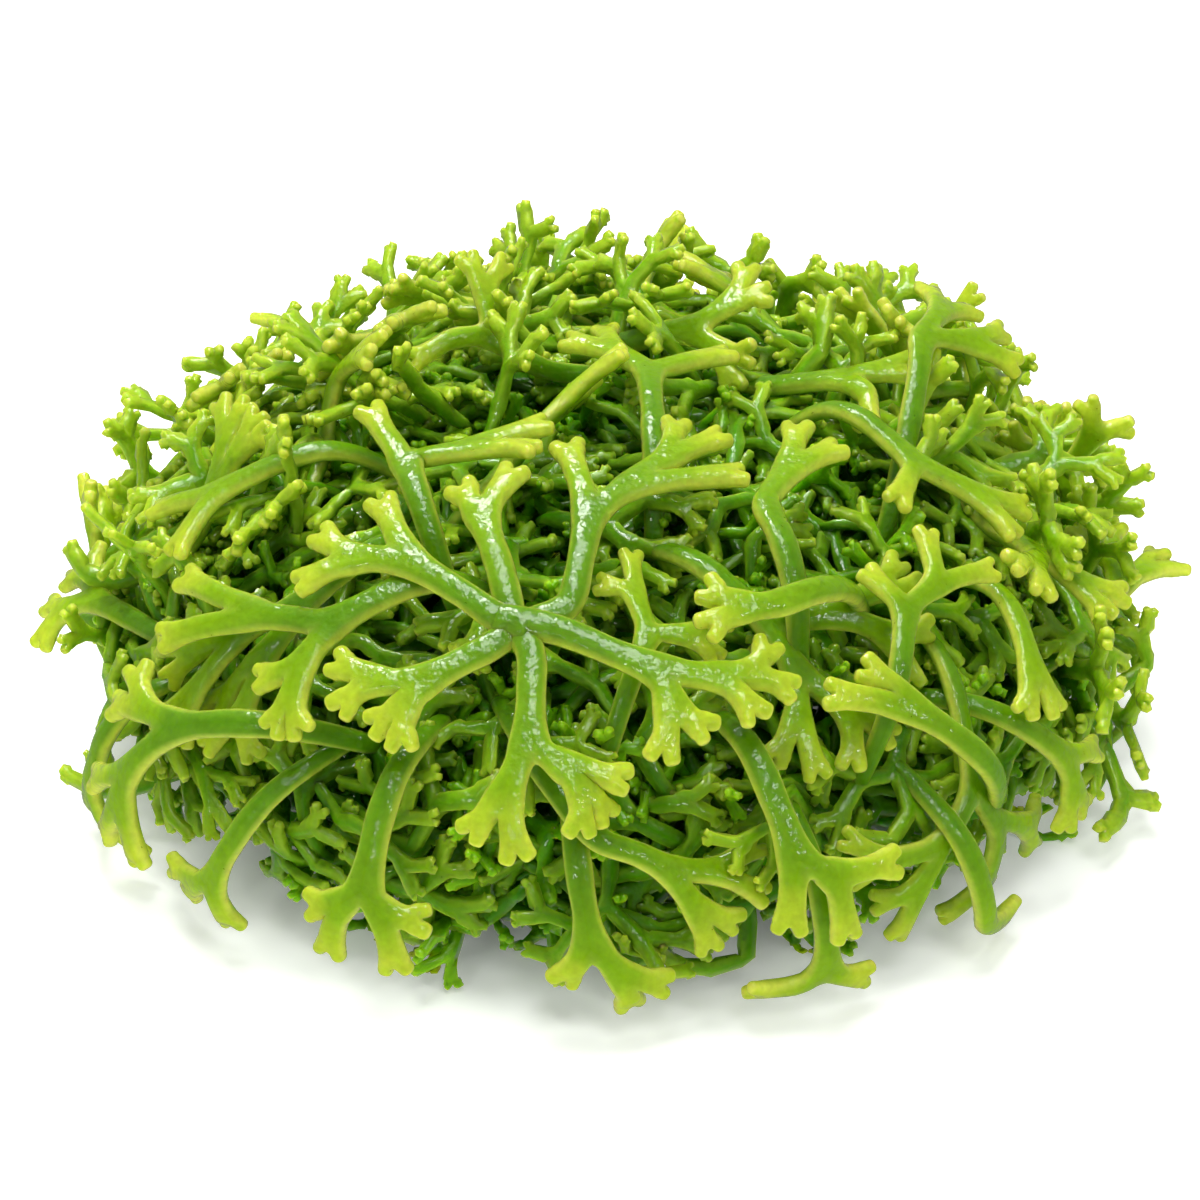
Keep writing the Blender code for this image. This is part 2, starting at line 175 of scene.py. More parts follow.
class Room:
    """Remembers where straps already are, as balls along them, to keep the next one clear.

    gap is the least distance between straps, and depth is how far one may sink into the mat. widest and
    highest bound the room.
    """

    def __init__(self):
        self.cells = {}
        self.gap = CLEARANCE
        self.depth = 0
        self.widest = NO_LIMIT
        self.highest = NO_LIMIT

    def key(self, point):
        return tuple(math.floor(x / CELL) for x in point)

    def add(self, point, radius, owner):
        self.cells.setdefault(self.key(point), []).append((point, radius, owner))

    def free(self, point, radius, kin):
        """True if a ball here is clear of the floor, the mat and every strap that isn't kin."""
        if point.z < radius + FLOOR_CLEARANCE or above_mat(point)[0] < radius + CLEARANCE / 2 - self.depth:
            return False
        if max(abs(point.x), abs(point.y)) > self.widest or point.z > self.highest:
            return False
        i, j, k = self.key(point)
        for x, y, z in NEAR_CELLS:
            for other, other_radius, owner in self.cells.get((i + x, j + y, k + z), ()):
                gap = 0 if kin and owner[0] == kin[0][0] else self.gap
                if owner not in kin and (other - point).length < radius + other_radius + gap:
                    return False
        return True


room = Room()
print("is there room for a strap on the mat's very surface?", room.free(on_mat(0, 45), STRAP_WIDTH / 2, ()))

# %% The course of a limb
STEPS = 4
SETTLING = 9 * MM
STEEPEST_CLIMB = 0.7
TURNING = 0.6
LOWEST_LIMB = 4.5 * MM
SIGHT = 5 * MM


def rotated(vector, degrees, axis):
    return Matrix.Rotation(math.radians(degrees), 3, axis) @ vector


def steer(point, heading, plan, lift):
    """The heading after one step: level with the mat at the frond's own height, and never into the floor."""
    height, out = above_mat(point)
    climb = (plan["cruise"] - height) / SETTLING * plan["cling"] + math.sin(math.radians(lift))
    climb = max(-STEEPEST_CLIMB, min(STEEPEST_CLIMB, climb))
    turned = heading + out * (climb - heading.dot(out)) * plan["cling"] * TURNING
    too_low = LOWEST_LIMB - (point.z + turned.z * SIGHT)
    if too_low > 0:
        turned.z += too_low / SIGHT
    return turned.normalized()


def grow_limb(limb_plan, start, heading, face, width, plan, nudge):
    """The stations along one limb, each (centre, heading, normal of the flat side, half width)."""
    step = limb_plan["length"] * MM / STEPS
    stations = [(start, heading, face, width)]
    point = start
    for _ in range(STEPS):
        bent = rotated(heading, (limb_plan["bend"] + nudge[0]) / STEPS, face)
        heading = steer(point, bent, plan, limb_plan["lift"] + nudge[1])
        face = (face - heading * face.dot(heading)).normalized()
        point = point + heading * step
        stations.append((point, heading, face, width))
    return stations


print("stations along a limb", STEPS + 1)

# %% Does a limb fit
FORK_SPREAD = 1.3
TIP_SWELL = 1.12
SHARPEST_BEND = 24


def balls(stations, forks):
    """Balls that hold the straight strap from the first station to the last, as (centre, radius)."""
    start, end, half = stations[0][0], stations[-1][0], stations[-1][3]
    grip = FORK_SPREAD if forks else TIP_SWELL
    return [(start.lerp(end, i / STEPS), half * (1 + (grip - 1) * i / STEPS)) for i in range(STEPS + 1)]


def fits(room, held, kin):
    """True if the balls are free. The first ones, inside what the limb grows from, are left out."""
    return all(room.free(point, radius, kin) for point, radius in held[2 if kin else 1:])


def straight_enough(stations):
    """True if neither end of the limb points far away from the straight line between its ends."""
    chord = stations[-1][0] - stations[0][0]
    return all(chord.angle(stations[end][1]) < math.radians(SHARPEST_BEND) for end in (0, -1))


print("a limb may bend", SHARPEST_BEND, "degrees at each end")

# %% Growing limb after limb
TAPER = 0.94
TRIES = 18
NUDGE = 3.2
LIFT_NUDGE = 1.3


def grow(limb_plan, start, heading, face, width, plan, room, rng, owner, kin):
    """A limb with all that grows from it, or None where there is no room."""
    stations = None
    for attempt in range(TRIES):
        spread = attempt * NUDGE
        nudge = (rng.uniform(-spread, spread), rng.uniform(-spread, spread) * LIFT_NUDGE)
        tried = grow_limb(limb_plan, start, heading, face, width, plan, nudge)
        if straight_enough(tried) and fits(room, balls(tried, limb_plan["forks"]), kin):
            stations = tried
            break
    if stations is None:
        return None
    for point, radius in balls(stations, limb_plan["forks"]):
        room.add(point, radius, owner)
    end, ahead, flat, half = stations[-1]
    grown = []
    for turn, child_plan in limb_plan["forks"]:
        turned = rotated(ahead, turn, flat)
        rolled = rotated(flat, rng.uniform(-plan["roll"], plan["roll"]), turned)
        family = (owner, owner + (1,), owner + (2,))
        side = owner + (1 if turn > 0 else 2,)
        child = grow(child_plan, end, turned, rolled, half * TAPER, plan, room, rng, side, family)
        if child:
            grown.append((turn, child))
    grown.sort(key=lambda fork: -fork[0])
    return {"stations": stations, "forks": grown}


def grow_frond(plan, room):
    """A frond from its plan: where it starts on the mat, which way it heads and how it branches.

    Its name is also its seed.
    """
    rng = random.Random(plan["name"])
    foot = on_mat(plan["around"], plan["up"])
    out = above_mat(foot)[1]
    right = Vector((math.cos(math.radians(plan["around"])), math.sin(math.radians(plan["around"])), 0))
    down = out.cross(right).normalized() * -1
    if down.z > 0:
        down.negate()
    right = (right - out * right.dot(out)).normalized()
    turn, lift = math.radians(plan["heading"]), math.radians(plan["lift"])
    along = down * math.cos(turn) + right * math.sin(turn)
    heading = along * math.cos(lift) + out * math.sin(lift)
    face = (out * math.cos(lift) - along * math.sin(lift)).normalized()
    face = rotated(face, plan["twist"], heading)
    half = STRAP_WIDTH / 2 * plan["scale"]
    start = foot + out * (plan["start"] + half + CLEARANCE)
    return grow(plan["branches"], start, heading, face, half, plan, room, rng, (plan["name"],), ())


print("tries for each limb", TRIES)

# %% [markdown]
# ## The fronds of this clump
# Five fronds meet like a star on the front. The rest of the front is a set of large fronds with shapes of
# their own. The back, the sides and the crown are filled by rows of seeded fronds.

# %% Plans for the fronds in front
START_SHARE = 0.8
USUAL = {"scale": 1.0, "lift": 8, "cling": 0.7, "roll": 16, "twist": 0}


def frond(name, around, up, heading, branches, level=6.5, **more):
    """A frond's plan. heading is 0 down the slope, 90 to the right. level is mm above the mat.

    lift is how steeply it leaves the mat, cling how well it follows the mat, roll how far each fork
    turns out of the plane of the last one, and twist turns the whole frond about its stem.
    """
    plan = {"name": name, "around": around, "up": up, "heading": heading, "branches": branches}
    return {**plan, "cruise": level * MM, "start": level * START_SHARE * MM, **USUAL, **more}


def star_fronds():
    """The five fronds that meet like a star on the front of the heap."""
    high = {"level": 10.5, "start": 8 * MM, "lift": 4, "roll": 10}
    down_right = limb(5.5, (24, limb(6)), (-26, pair(3, 36, 3.8, -36, 4.2)))
    lower = limb(9.5, (-23, pair(6.5, -22, 5.6, 34, 6.6)), (56, down_right))
    right_end = limb(7.2, (-50, limb(5.5)), (16, pair(3.5, -34, 4.4, 52, 4)))
    right = limb(11.5, (-48, pair(4.6, -28, 5.4, 44, 4.4)), (24, right_end))
    left = limb(8, (30, pair(3.8, -38, 3.4, 32, 3.8)), (-38, pair(6, -24, 5, 52, 4.5)))
    upper_left = limb(12, (30, limb(7, (30, limb(6.5)), (-38, limb(6)))), (-28, limb(10)))
    upper = pair(6.5, -46, 7.4, 14, 5)
    return [
        frond("star_frond_lower", -9, 37, 6, lower, **high),
        frond("star_frond_right", -5, 41, 68, right, **high),
        frond("star_frond_left", -15, 38, -50, left, **high),
        frond("star_frond_upper_left", -16, 43, -116, upper_left, **high),
        frond("star_frond_upper", -17, 50, -148, upper, **high),
    ]


def fronds_above_star():
    """The large fronds between the star and the crown, from the pillar outwards."""
    pillar = limb(11.5, (22, limb(12)), (-36, limb(7, (-34, limb(13)), (4, pair(7, 34, 6.5, -14, 7.5)))))
    twig = limb(4.5, (36, pair(6, 58, 4, -14, 5.6)), (-70, pair(5, 30, 4.4, -44, 3.8)))
    blade = limb(6.5, (-20, pair(4.6, 30, 4.4, -44, 4)), (56, pair(4.6, -32, 3.8, 44, 5)))
    tall = limb(8, (16, limb(13)), (-38, pair(7, 20, 7.5, -26, 7)))
    left_upper = limb(11.5, (-32, limb(10)), (38, limb(9)))
    upper_left = limb(5, (12, limb(10, lift=26)), (-96, pair(8, 16, 9.5, -20, 8)))
    upper_centre = limb(12, (34, pair(8, 26, 6, -30, 6)), (-58, limb(12)))
    upper_right = limb(10, (34, pair(9, 30, 6.5, -28, 6)), (-60, limb(8)))
    crest = limb(13, (-18, pair(9, -30, 6.5, 30, 6.5)), (-62, pair(8, -22, 7, 28, 7)))
    return [
        frond("pillar_frond", -5, 47, 176, pillar, 8.5),
        frond("forked_twig_frond", 3, 39, 158, twig, 5.5, scale=0.74),
        frond("pale_blade_frond", 27, 43, -84, blade, 12, start=9 * MM, lift=16),
        frond("tall_forked_frond", 26, 50, 176, tall, 10),
        frond("left_upper_frond", -66, 53, -12, left_upper, 7.5, scale=0.9),
        frond("upper_left_frond", -38, 57, -128, upper_left, 8, scale=0.95),
        frond("upper_centre_frond", 14, 72, 168, upper_centre, 7, scale=0.92),
        frond("upper_right_frond", 66, 61, -24, upper_right, 8, scale=0.92),
        frond("right_crest_frond", 72, 56, 108, crest, 9, lift=36, cling=0.3, scale=0.88),
    ]


def fronds_beside_star():
    """The large fronds left, right and below the star."""
    right_forked = limb(6.5, (50, limb(6)), (-38, pair(6.5, 50, 7, -20, 9)))
    reaching = limb(10.5, (-36, limb(6.5)), (20, limb(9.5)))
    shoulder = limb(9, (-30, pair(5, -26, 4.5, 30, 4.5)), (34, limb(8)))
    low_right = limb(9.5, (-22, limb(8)), (46, pair(5.5, 34, 7.5, -50, 7.2)))
    low_left = limb(9.5, (-46, pair(4.6, -26, 3.8, 36, 6.6)), (46, pair(4, 48, 4.2, -36, 6.6)))
    left_reach = limb(11, (18, limb(13)), (-18, limb(13.5)))
    left_hang = limb(6, (-52, limb(5.5)), (20, pair(4.5, -32, 3.4, 36, 3.4)))
    left = limb(9, (-46, left_reach), (28, left_hang))
    low_reach = limb(10, (-30, limb(9)), (22, pair(4, -26, 9, 26, 8)))
    left_low = limb(10, (-26, pair(7.5, 22, 5, -42, 4.8)), (30, low_reach))
    return [
        frond("right_forked_frond", 34, 33, 146, right_forked, 9, scale=0.84),
        frond("right_reaching_frond", 38, 19, -142, reaching, 9, scale=0.94),
        frond("right_hanging_frond", 53, 31, -30, pair(7, -24, 5.5, 32, 5.5), 7.5, scale=0.86),
        frond("right_shoulder_frond", 47, 19, 40, shoulder, 5, scale=0.86),
        frond("low_right_frond", 15, 23, 12, low_right, 9),
        frond("low_left_frond", -22, 18, -2, low_left, 8.5),
        frond("left_frond", -29, 44, -40, left, 8.5),
        frond("left_low_frond", -40, 22, -68, left_low, 8.5),
    ]


def foot_fronds():
    """The large fronds that hang at the foot of the heap, from the front to both sides."""
    front = limb(8, (-40, limb(6)), (28, pair(6.5, -34, 4.6, 30, 5)))
    front_right = limb(8, (-32, pair(5, -28, 5, 32, 4.4)), (30, limb(7)))
    right = limb(9.5, (-26, limb(7)), (36, limb(8.5)))
    far_right = limb(11, (-28, limb(7.5)), (32, pair(5, -26, 4.5, 26, 4.5)))
    left = limb(10, (-36, pair(5, -26, 4.5, 26, 4.5)), (30, limb(7)))
    far_left = limb(10, (-28, limb(8)), (34, pair(6, -26, 4.5, 26, 4.5)))
    return [
        frond("front_foot_frond", -3, 12, 10, front, 6, scale=0.95),
        frond("front_right_foot_frond", 20, 4, 4, front_right, 6, scale=0.86),
        frond("right_foot_frond", 36, 4, 14, right, 7.5, scale=0.9),
        frond("far_right_foot_frond", 56, 7, 30, far_right, 8, scale=0.86),
        frond("left_foot_frond", -37, 10, -24, left, 7, scale=0.86),
        frond("far_left_foot_frond", -60, 9, -14, far_left, 7.5, scale=0.86),
    ]


plans = star_fronds() + fronds_above_star() + fronds_beside_star() + foot_fronds()
print("fronds with a plan of their own", len(plans))

# %% Plans for the other fronds
LYING = {"lengths": [9.5, 8.5, 7, 5.5], "lift": (4, 18), "cling": 0.75, "twist": 20}
STANDING = {"lengths": [7.2, 6, 4.8], "lift": (20, 44), "cling": 0.15, "twist": 80, "start": 0.6 * MM}
SCATTERED_SCALE = (0.82, 0.96)
SCATTERED_ROLL = 22
SHARE_OF_STEP = (0.25, 0.75)
# each row: name, how many, habit, largest heading, degrees around, degrees up, mm above the mat
ROWS = [
    ("under_frond", 4, LYING, 60, (-52, 52), (24, 62), (3, 3.4)),
    ("brim_frond", 11, STANDING, 180, (62, 300), (2, 20), (3, 5)),
    ("flank_frond", 7, STANDING, 180, (60, 304), (28, 42), (3, 5)),
    ("slope_frond", 6, STANDING, 180, (80, 290), (50, 64), (3, 5)),
    ("crown_frond", 5, STANDING, 180, (-150, 210), (68, 86), (2.6, 4.5)),
]


def scattered_fronds():
    """The rest, spread evenly round and over the heap: some lie on it, most stand out from it."""
    plans = []
    for label, count, habit, most_turned, (first, last), ups, levels in ROWS:
        for i in range(count):
            rng = random.Random(f"{label} {i}")
            around = first + (last - first) * (i + rng.uniform(*SHARE_OF_STEP)) / count
            branches = wild_limb(rng, habit["lengths"])
            level = rng.uniform(*levels)
            heading = rng.uniform(-most_turned, most_turned)
            plan = frond(f"{label}_{i + 1:02d}", around, rng.uniform(*ups), heading, branches, level)
            plan["lift"] = rng.uniform(*habit["lift"])
            plan["start"] = habit.get("start", plan["start"])
            plan["scale"] = rng.uniform(*SCATTERED_SCALE)
            plan["cling"] = habit["cling"]
            plan["twist"] = rng.uniform(-habit["twist"], habit["twist"])
            plan["roll"] = SCATTERED_ROLL
            plans.append(plan)
    return plans


plans += scattered_fronds()
print("with the seeded ones", len(plans))

# %% Grow them all
grown_fronds = [(plan, grow_frond(plan, room)) for plan in plans]
# as in the solid model, one that finds no room to fork in is left out
grown_fronds = [(plan, tree) for plan, tree in grown_fronds if tree and tree["forks"]]
known = all(plan["name"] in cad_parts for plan, _ in grown_fronds)
print("fronds", len(grown_fronds), "all are nodes:", known)

# %% [markdown]
# ## Small fronds in the room that is left
# Between the large fronds of a real clump lie smaller ones, too many to count as pieces of their own. The
# same rule grows them now, in the room that the large ones leave: narrower straps with shorter limbs, some
# lying and some standing, that may sink a little way into the mat. They belong to the mat's piece.

# %% Small fronds
SMALL_LENGTHS = [6.0, 5.2, 4.6, 3.8]
SMALL_TURN = (30, 50)
SMALL_TRIED = 1000
SMALL_ROLL = 28
SMALL_TWIST = 50
# some stand out from the heap and most lie on it, lower in front, where the star is; level is in millimetres
SMALL_STANDING = {"level": (1, 5), "lift": (35, 75), "scale": (0.52, 0.68)}
SMALL_LYING = {"level": (-7, 3), "lift": (0, 40), "scale": (0.46, 0.62)}
SMALL_IN_FRONT = {**SMALL_LYING, "level": (-7, 0)}
STANDING_CLING, LYING_CLING = 0.1, (0.3, 0.7)
SUNK = 2  # millimetres that a foot lies below its frond
STANDS_EVERY = 4
FRONT_HALF = 60  # degrees on each side of the front
# steps that fill a square evenly: a share of the way round, and a share of the way up
EVEN_STEPS = (0.7548777, 0.5698403)
LOWEST_SINE, SINE_RANGE, SINE_POWER = -0.16, 1.15, 0.8


def small_frond(i):
    """The plan of a small frond. Every fourth one stands, but none in front, where the star lies."""
    rng = random.Random(f"small frond {i}")
    turn_share, rise_share = ((i * step) % 1 for step in EVEN_STEPS)
    around = 360 * turn_share
    up = math.degrees(math.asin(LOWEST_SINE + SINE_RANGE * rise_share ** SINE_POWER))
    in_front = abs(around - 180) > 180 - FRONT_HALF
    stands = i % STANDS_EVERY == 0 and not in_front
    habit = SMALL_STANDING if stands else SMALL_IN_FRONT if in_front else SMALL_LYING
    branches = wild_limb(rng, SMALL_LENGTHS[1 if stands else rng.randrange(2):], SMALL_TURN)
    level = rng.uniform(*habit["level"])
    plan = frond(f"small_{i}", around, up, rng.uniform(-180, 180), branches, level)
    plan["start"] = (level - SUNK) * MM
    plan["lift"] = rng.uniform(*habit["lift"])
    plan["scale"] = rng.uniform(*habit["scale"])
    plan["cling"] = STANDING_CLING if stands else rng.uniform(*LYING_CLING)
    plan["twist"] = rng.uniform(-SMALL_TWIST, SMALL_TWIST)
    plan["roll"] = SMALL_ROLL
    return plan


# their skins may touch and sink into the mat, but they stay inside the box of the large ones
room.gap = -0.5 * MM
room.depth = 9 * MM
room.widest = 70 * MM
room.highest = 62 * MM
small_plans = [small_frond(i) for i in range(SMALL_TRIED)]
small_fronds = [(plan, grow_frond(plan, room)) for plan in small_plans]
small_fronds = [(plan, tree) for plan, tree in small_fronds if tree and tree["forks"]]
print("small fronds", len(small_fronds), "of", SMALL_TRIED, "tried")

# %% [markdown]
# ## The skin of a strap
# A strap of this seaweed is plump and a little flattened, with rounded edges. Where it forks it broadens
# into a web, and the crook between the two limbs is smooth. Skin and metaball tools give round tubes and
# lumpy forks, so the skin's points are laid one by one, in rings joined by quads. At a fork, a few new points
# run through the crook from face to back. They close one half of the ring for the left limb and the other
# half for the right limb, which keeps all but the caps in quads and lets a subdivision round them off.

# %% Rings of points
WIDE_SECTION = ((-1, 0), (-0.72, 0.86), (0, 1), (0.72, 0.86), (1, 0), (0.72, -0.86), (0, -1), (-0.72, -0.86))
PLAIN_SECTION = ((-0.9, 0.55), (0, 1), (0.9, 0.55), (0.9, -0.55), (0, -1), (-0.9, -0.55))
PLUMP = 1.1
# how closely the painted rim glow keeps to the strap's very edge
EDGE_POWER = 8
# points through a fork's crook, from face to back: (height, share of the crook's depth, nearness to the edge)
WIDE_CROOK = ((0.78, 0.9, 0.3), (0, 1, 1), (-0.78, 0.9, 0.3))
PLAIN_CROOK = ((0.6, 0.9, 0.3), (-0.6, 0.9, 0.3))


class Skin:
    """A strap's mesh while it is made. Its points keep their distance to the tip and nearness to the edge."""

    def __init__(self, section=WIDE_SECTION, fray=0.05):
        self.bm = bmesh.new()
        self.rng = random.Random(f"fray {fray}")
        self.fray = fray
        self.reach = self.bm.verts.layers.float.new("reach")
        self.edge = self.bm.verts.layers.float.new("edge")
        self.section = section
        self.top = section.index((0, 1))
        self.back = section.index((0, -1))
        self.crook = WIDE_CROOK if section is WIDE_SECTION else PLAIN_CROOK

    def point(self, place, reach, edge):
        vert = self.bm.verts.new(place)
        vert[self.reach] = reach / MM
        vert[self.edge] = edge
        return vert

    def uneven(self):
        return 1 + self.fray * self.rng.uniform(-1, 1)

    def ring(self, centre, heading, face, half, thin, reach, groove=1.0):
        """Points round the strap. groove below 1 sinks the middle of both flat sides."""
        side = heading.cross(face)
        found = []
        for across, over in self.section:
            dip = groove if across == 0 else 1
            wide = half * PLUMP * self.uneven()
            high = thin * dip * PLUMP * self.uneven()
            place = centre + side * (wide * across) + face * (high * over)
            found.append(self.point(place, reach, abs(across) ** EDGE_POWER))
        return found

    def join(self, first, second):
        for i in range(len(first)):
            j = (i + 1) % len(first)
            self.bm.faces.new((first[i], first[j], second[j], second[i]))

    def split(self, end, centre, ahead, face, thin, crook, reach):
        """The two half rings, left and right, that a fork's ring is divided into by points in its crook."""
        spine = []
        for height, depth, edge in self.crook:
            place = centre + ahead * (crook * depth) + face * (thin * height)
            spine.append(self.point(place, reach, edge))
        left = end[: self.top + 1] + spine + end[self.back :]
        right = spine[:-1][::-1] + end[self.top : self.back + 1] + spine[-1:]
        return left, right


def between(stations, share):
    """Centre, heading and face at a share of the way along a limb."""
    place = min(max(share, 0), 1) * (len(stations) - 1)
    i = min(int(place), len(stations) - 2)
    low, high = stations[i][:3], stations[i + 1][:3]
    centre, heading, face = (a.lerp(b, place - i) for a, b in zip(low, high))
    return centre, heading.normalized(), face.normalized()


def length_of(stations):
    return sum((b[0] - a[0]).length for a, b in zip(stations, stations[1:]))


def reach_of(tree):
    """How far a limb's farthest tip is from where the limb starts."""
    return length_of(tree["stations"]) + max((reach_of(child) for _, child in tree["forks"]), default=0)


sample = grown_fronds[-1][1]
print("the last frond reaches", round(reach_of(sample) / MM), "mm, with", len(WIDE_SECTION), "points to a ring")

# %% [markdown]
# ## Forked ends
# Each last limb ends in two short round lobes with a notch between them, so a tip looks like a small heart
# from above. It is made as a very short fork whose two limbs close in a rounded cap.

# %% Lobes at a tip
LOBE_TURN = 26
LOBE_TURN_SHARE = (0.6, 1.4)
LOBE_SIZE = (0.88, 1.14)
# the rest are shares of half the strap's width or thickness
TIP_WIDTH, TIP_GROOVE, NOTCH = 1.3, 0.7, 0.32
LOBE_OUT, LOBE_AHEAD, LOBE_PLUMP = 0.7, 0.5, 1.2
# the rings of a lobe: (how far along it, how wide)
FULL_LOBE = ((0, 0.6), (0.4, 0.6), (0.7, 0.38))
PLAIN_LOBE = ((0.1, 0.62), (0.62, 0.48))


def lobes(skin, ring, centre, heading, face, half, thin, rng, detail):
    """Closes a limb with its two round lobes."""
    end = skin.ring(centre, heading, face, half * TIP_WIDTH, thin, 0, groove=TIP_GROOVE)
    skin.join(ring, end)
    side = heading.cross(face)
    for sign, start in zip((-1, 1), skin.split(end, centre, heading, face, thin, half * NOTCH, 0)):
        size = rng.uniform(*LOBE_SIZE)
        turned = rotated(heading, -sign * LOBE_TURN * rng.uniform(*LOBE_TURN_SHARE), face)
        place = centre + side * (sign * half * LOBE_OUT) + heading * (half * LOBE_AHEAD)
        for ahead, girth in detail["lobe"]:
            middle = place + turned * (half * ahead * size)
            knob = skin.ring(middle, turned, face, half * girth * size, thin * girth * LOBE_PLUMP, 0)
            skin.join(start, knob)
            start = knob
        # the cap is all edge, so the tip gets the full painted rim glow
        for vert in start:
            vert[skin.edge] = 1
        skin.bm.faces.new(start)


print("rings in a lobe", len(FULL_LOBE), "or", len(PLAIN_LOBE))

# %% Limbs and forks
BACK_FROM_FORK, BACK_FROM_TIP, BACK_FROM_LOBES = 1.3, 1.0, 0.5
LAST_GIRTH = 1.06
LIMB_GROOVE = 0.88
THICKNESS_RANGE = (0.94, 1.04)
FORK_WIDTH, FORK_THICKNESS, FORK_GROOVE = 1.42, 0.98, 0.74
NARROWEST_FORK = 0.25  # radians, half the angle between two limbs
# how far a web and the bare stretch past it reach, and the share of the shortest branch they may take
WEB_REACH, WEB_MOST, WEB_SHARE = 0.92, 2.3, 0.42
BARE_REACH, BARE_LEAST, BARE_SHARE = 1.02, 1.05, 0.6


def ring_places(clear, last, pitch):
    """Even steps along a limb, from the end of the stretch kept clear to its last ring."""
    count = max(1, round((last - clear) / pitch))
    places = [clear + (last - clear) * i / count for i in range(count + 1)] if last > clear else [last]
    return places if clear else places[1:]


def lay_limb(skin, ring, tree, thin, rng, detail, clear=0.0):
    """Skins a limb from the ring it starts with, and all that grows from it. clear is kept free of rings."""
    stations, forks = tree["stations"], tree["forks"]
    half = stations[-1][3]
    length = length_of(stations)
    beyond = max((reach_of(child) for _, child in forks), default=0)
    last = length - half * (BACK_FROM_FORK if forks else BACK_FROM_TIP)
    for place in ring_places(clear, last, detail["pitch"]):
        middle, ahead, face = between(stations, place / length)
        girth = LAST_GIRTH if place == last else rng.uniform(*detail["girth"])
        middle = middle + Vector(rng.uniform(-1, 1) for _ in range(3)) * detail["jog"]
        thickness = thin * rng.uniform(*THICKNESS_RANGE)
        new = skin.ring(middle, ahead, face, half * girth, thickness, beyond + length - place, LIMB_GROOVE)
        skin.join(ring, new)
        ring = new
    if forks:
        lay_fork(skin, ring, tree, thin, rng, detail, beyond)
    else:
        tip, ahead, face = between(stations, (length - half * BACK_FROM_LOBES) / length)
        lobes(skin, ring, tip, ahead, face, half, thin, rng, detail)


def lay_fork(skin, ring, tree, thin, rng, detail, beyond):
    """Skins a fork with its web, and the limbs that leave it. A lone limb just runs on."""
    centre, heading, face, half = tree["stations"][-1]
    children = [child for _, child in tree["forks"]]
    if len(children) == 1:
        end = skin.ring(centre, heading, face, half, thin, beyond)
        skin.join(ring, end)
        lay_limb(skin, end, children[0], thin, rng, detail, half)
        return
    end = skin.ring(centre, heading, face, half * FORK_WIDTH, thin * FORK_THICKNESS, beyond, groove=FORK_GROOVE)
    skin.join(ring, end)
    left, right = (child["stations"][0][1] for child in children)
    opening = math.sin(max(left.angle(right) / 2, NARROWEST_FORK))
    shortest = min(reach_of(child) for child in children)
    web = min(half * WEB_REACH / opening, half * WEB_MOST, shortest * WEB_SHARE)
    bare = min(max(half * BARE_REACH / opening, web * BARE_LEAST), shortest * BARE_SHARE)
    halves = skin.split(end, centre, (left + right).normalized(), face, thin, web, beyond)
    for start, child in zip(halves, children):
        lay_limb(skin, start, child, thin, rng, detail, bare)


print("rings on a limb of 9 mm", len(ring_places(0, 9 * MM, 2.2 * MM)))

# %% [markdown]
# ## Roots
# Every frond is torn from a larger plant, so its stem runs on past its first fork, down into the heap. The
# solid fronds stop short of the mat. Here each gets a root: a narrowing stem that leaves the foot backwards
# and bends down between the sprigs. The star fronds, and the pillar above them, run on to the middle of
# the star instead.

# %% Roots
ROOT_LENGTH = 13 * MM
ROOT_NARROWING = 0.3
ROOT_BACK = 0.9
ROOT_SLANT = 0.6
ROOT_PULL = 0.38
ROOT_DEPTH = 3 * MM
ROOT_FLOOR = 3 * MM
LEAST_LEVEL = 0.05


def curve_through(start, first_pull, end, end_pull, steps):
    """(point, direction) at equal steps along a cubic curve from start to end."""
    a, b, c, d = start, start + first_pull, end - end_pull, end
    found = []
    for i in range(steps + 1):
        t = i / steps
        place = a * (1 - t) ** 3 + b * (3 * t * (1 - t) ** 2) + c * (3 * t * t * (1 - t)) + d * t ** 3
        along = (b - a) * (1 - t) ** 2 + (c - b) * (2 * t * (1 - t)) + (d - c) * t * t
        found.append((place, along.normalized()))
    return found


def root_into_mat(tree, length):
    """Where a root ends, the direction it ends in and how much it narrows: behind the foot, inside the mat."""
    start, heading = tree["stations"][0][:2]
    height, out = above_mat(start)
    level = heading - out * heading.dot(out)
    level = level.normalized() if level.length > LEAST_LEVEL else heading
    end = start - level * (length * ROOT_BACK) - out * (height + ROOT_DEPTH)
    end.z = max(end.z, ROOT_FLOOR)
    return end, (-out - level * ROOT_SLANT).normalized(), ROOT_NARROWING


def lay_root(skin, tree, thin, root, steps):
    """The rings from the end of a root up to the frond's foot. The first is closed and the last returned."""
    end, end_direction, narrowing = root
    start, heading, face, half = tree["stations"][0]
    span = (end - start).length
    path = curve_through(start, -heading * (span * ROOT_PULL), end, end_direction * (span * ROOT_PULL), steps)
    reach = reach_of(tree)
    ring = None
    for i in range(steps, -1, -1):
        place, away = path[i]
        ahead = -away
        flat = (face - ahead * face.dot(ahead)).normalized()
        girth = 1 - narrowing * i / steps
        new = skin.ring(place, ahead, flat, half * girth, thin * girth, reach + span * i / steps)
        if ring:
            skin.join(ring, new)
        else:
            skin.bm.faces.new(new[::-1])
        ring = new
    return ring


def lay_strap(skin, tree, thickness, seed, detail, root):
    """The whole skin of a branching strap, closed at the end of its root."""
    foot = lay_root(skin, tree, thickness / 2, root, detail["root_steps"])
    lay_limb(skin, foot, tree, thickness / 2, random.Random(seed), detail)


print("the last frond's root ends at", in_mm(root_into_mat(sample, ROOT_LENGTH)[0]))

